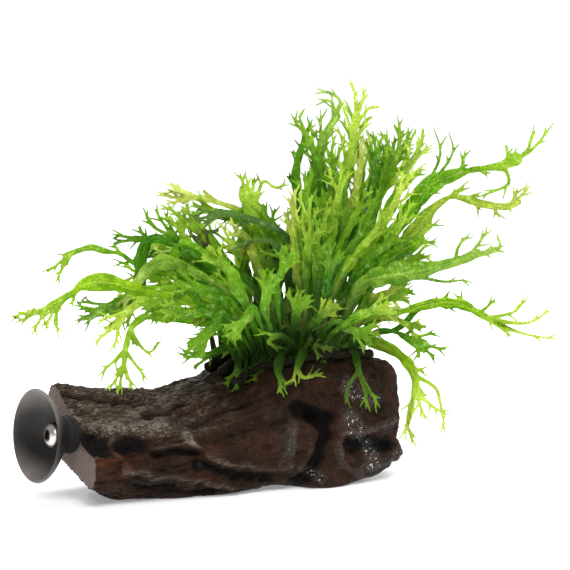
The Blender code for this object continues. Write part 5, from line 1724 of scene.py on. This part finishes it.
@dataclass
class Studio:
    """A plain white floor, soft lights and the camera."""

    azimuth: float = -30.0
    elevation: float = 6.0
    distance: float = 0.8
    lens: float = 120.0
    sensor: float = 36.0
    target: Point = (0.0215, -0.0124, 0.0853)
    room: float = 0.38              # how strongly the room itself lights the plant

    def build(self) -> None:
        """Set up the view, the lights and the floor."""
        self.build_camera()
        self.build_lights()
        self.build_floor()

    def build_camera(self) -> None:
        """Place the camera where the photograph was taken from."""
        a, e = math.radians(self.azimuth), math.radians(self.elevation)
        back = Vector((math.sin(a) * math.cos(e), -math.cos(a) * math.cos(e), math.sin(e)))
        data = bpy.data.cameras.new("camera")
        data.lens, data.sensor_width = self.lens, self.sensor
        data.clip_start, data.clip_end = 0.02, 100
        camera = bpy.data.objects.new("camera", data)
        camera.location = Vector(self.target) + back * self.distance
        camera.rotation_mode = "QUATERNION"
        camera.rotation_quaternion = (-back).to_track_quat("-Z", "Y")
        bpy.context.scene.collection.objects.link(camera)
        bpy.context.scene.camera = camera

    def build_lights(self) -> None:
        """Hang softboxes round the plant, in a room that is white to the camera but lights it weakly."""
        for name, spot, size, power in (
                ("key", (-0.30, -0.70, 0.80), 0.42, 7.1),
                ("side", (0.80, -0.45, 0.50), 0.35, 3.8),
                ("top", (0.10, 0.20, 1.10), 0.45, 7.8),
                ("spark", (-0.50, -0.62, 0.50), 0.07, 1.6),
                ("glint", (0.10, -0.80, 0.75), 0.06, 1.2),
                ("back", (0.20, 0.90, 0.45), 0.6, 4.0)):
            data = bpy.data.lights.new(name, "AREA")
            data.shape, data.size, data.energy = "SQUARE", size, power
            light = bpy.data.objects.new(name, data)
            light.location = spot
            light.rotation_mode = "QUATERNION"
            light.rotation_quaternion = (Vector(self.target) - Vector(spot)).to_track_quat("-Z", "Y")
            bpy.context.scene.collection.objects.link(light)
        world = bpy.data.worlds.new("room")
        world.use_nodes = True
        tree = world.node_tree
        back = tree.nodes["Background"]
        back.inputs["Color"].default_value = (1, 1, 1, 1)
        seen = tree.nodes.new("ShaderNodeLightPath")
        power = tree.nodes.new("ShaderNodeMapRange")
        power.inputs["To Min"].default_value = self.room
        power.inputs["To Max"].default_value = 1.2
        tree.links.new(seen.outputs["Is Camera Ray"], power.inputs["Value"])
        tree.links.new(power.outputs["Result"], back.inputs["Strength"])
        scene = bpy.context.scene
        scene.world = world
        scene.view_settings.view_transform = "Standard"

    def build_floor(self) -> None:
        """Lay the floor."""
        reach = (-60, -8, -2, -0.6, 0, 0.6, 2, 8, 60)
        verts = [(x, y, -0.0002) for x in reach for y in reach]
        n = len(reach)
        faces = [(i * n + j, (i + 1) * n + j, (i + 1) * n + j + 1, i * n + j + 1)
                 for i in range(n - 1) for j in range(n - 1)]
        mesh_piece("floor", verts, faces, FloorFinish().dress())


# ---- the whole plant ----

AGES = {
    Age.YOUNG: (4, 5, 26, 34, 36, 38, 39, 45),
    Age.YELLOW: (14, 15, 19, 32),
    Age.PALE: (10, 25, 35),
    Age.DEEP: (1, 2, 6, 8, 11, 12, 18, 21, 23, 28, 37, 40, 41, 43, 44, 46, 47, 48, 49, 50),
    Age.OLD: (17,),
}
SPRIGS = (                          # across and high in mm, the way they point in degrees, and their age
    (-34, -2, 160, Age.DEEP), (-28, -9, 195, Age.MATURE), (-20, -3, 120, Age.DEEP), (-16, -14, 215, Age.DEEP),
    (-38, -12, 185, Age.MATURE), (-8, -6, 95, Age.DEEP), (-24, 6, 130, Age.MATURE), (4, -17, 70, Age.DEEP),
    (12, -16, 35, Age.MATURE), (-2, 4, 80, Age.DEEP), (26, -18, 330, Age.DEEP), (18, 2, 75, Age.DEEP),
    (34, -12, 10, Age.MATURE), (-46, -6, 200, Age.DEEP), (-30, -18, 230, Age.DEEP),
)
LONE = (1, 2, 3, 4, 9, 31, 32, 35, 36, 37, 38, 39, 40, 41, 42, 43)     # they have no smaller ones beside them


@dataclass
class Fern:
    """Every frond of the table in its node's place, and the smaller ones between them."""

    wood: Driftwood

    FIRST_INNER = 101               # the number of the first smaller frond
    INNER_CELL = 0.54               # mm, the size of their smallest faces

    def build(self) -> None:
        """Make the fronds with one material for each age."""
        finishes = {age: LEAVES[age.value].dress() for age in Age}
        ages = {number: age for age, numbers in AGES.items() for number in numbers}
        for number, frond in enumerate(FRONDS, 1):
            frond.number = number
            frond.age = ages.get(number, Age.MATURE)
            frond.build(self.wood, finishes[frond.age])
        self.build_fillers(finishes)

    def build_fillers(self, finishes: dict[Age, bpy.types.Material]) -> None:
        """Make the small inner fronds, one piece for each age."""
        bundles = {age: Bundle() for age in Age}
        chance = np.random.default_rng(8)
        inner = [Frond(*row, age=age) for age, rows in INNER.items() for row in rows]
        beside = [self.beside(frond, chance) for n, frond in enumerate(FRONDS, 1) if n not in LONE]
        for number, frond in enumerate((*inner, *beside, *self.sprigs(chance)), self.FIRST_INNER):
            frond.number, frond.cell = number, self.INNER_CELL
            verts, faces, marks = frond.skin(self.wood)
            bundles[frond.age].add(verts, faces, **marks)
        for age, bundle in bundles.items():
            if bundle.verts:
                piece = mesh_piece(f"inner_fronds_{age.value}", bundle.verts, bundle.faces, finishes[age],
                                   bundle.marks, sharp=75)
                place_in_frame(piece, "frond")

    @staticmethod
    def beside(frond: Frond, chance: np.random.Generator) -> Frond:
        """Return a smaller frond that grows close beside another, and a little another way.

        Args:
            frond: the one beside it.
            chance: where its differences come from.

        Returns:
            The smaller frond.
        """
        route = np.array(frond.route, float)
        inward = 1 if route[-1][0] > 14 else -1
        turn = math.radians(inward * float(chance.uniform(4, 13)))
        c, s = math.cos(turn), math.sin(turn)
        spun = (route - route[0]) @ np.array(((c, s), (-s, c)))
        route = route[0] + spun * float(chance.uniform(0.68, 0.92))
        age = Age(chance.choice(("mature", "mature", "mature", "deep", "deep", "deep", "deep")))
        return Frond(frond.rhizome, float(np.clip(frond.along + chance.uniform(-4, 4), -2, 64)),
                     frond.deep + float(chance.uniform(-9, 9)), float(chance.uniform(4.2, 6.6)),
                     tuple(map(tuple, route)), 3, frond.reach, frond.middle, age=age)

    @staticmethod
    def sprigs(chance: np.random.Generator) -> list[Frond]:
        """Return the short crested fronds in front of the stalks."""
        found = []
        for across, high, way, age in SPRIGS:
            a, length = math.radians(way + float(chance.uniform(-12, 12))), float(chance.uniform(9, 15))
            ahead = np.array((math.cos(a), math.sin(a)))
            start = np.array((across, high), float)
            route = (start - ahead * length * 0.5, start, start + ahead * length * 0.5)
            along = float(np.clip(22 + across * 0.5, 0, 62))
            found.append(Frond("front", along, float(chance.uniform(-44, -30)), (1.5, 1.5, 1.7, 4.0, 3.4),
                               tuple(map(tuple, route)), 5, 14.0, age=age))
        return found


def main() -> None:
    """Build the plant, its wood and the studio."""
    logging.basicConfig(level=logging.INFO, format="%(message)s")
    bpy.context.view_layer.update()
    Studio().build()
    wood = Driftwood()
    wood.build()
    SuctionCup().build()
    Rhizomes(wood).build()
    Fern(wood).build()


if __name__ == "__main__":
    main()
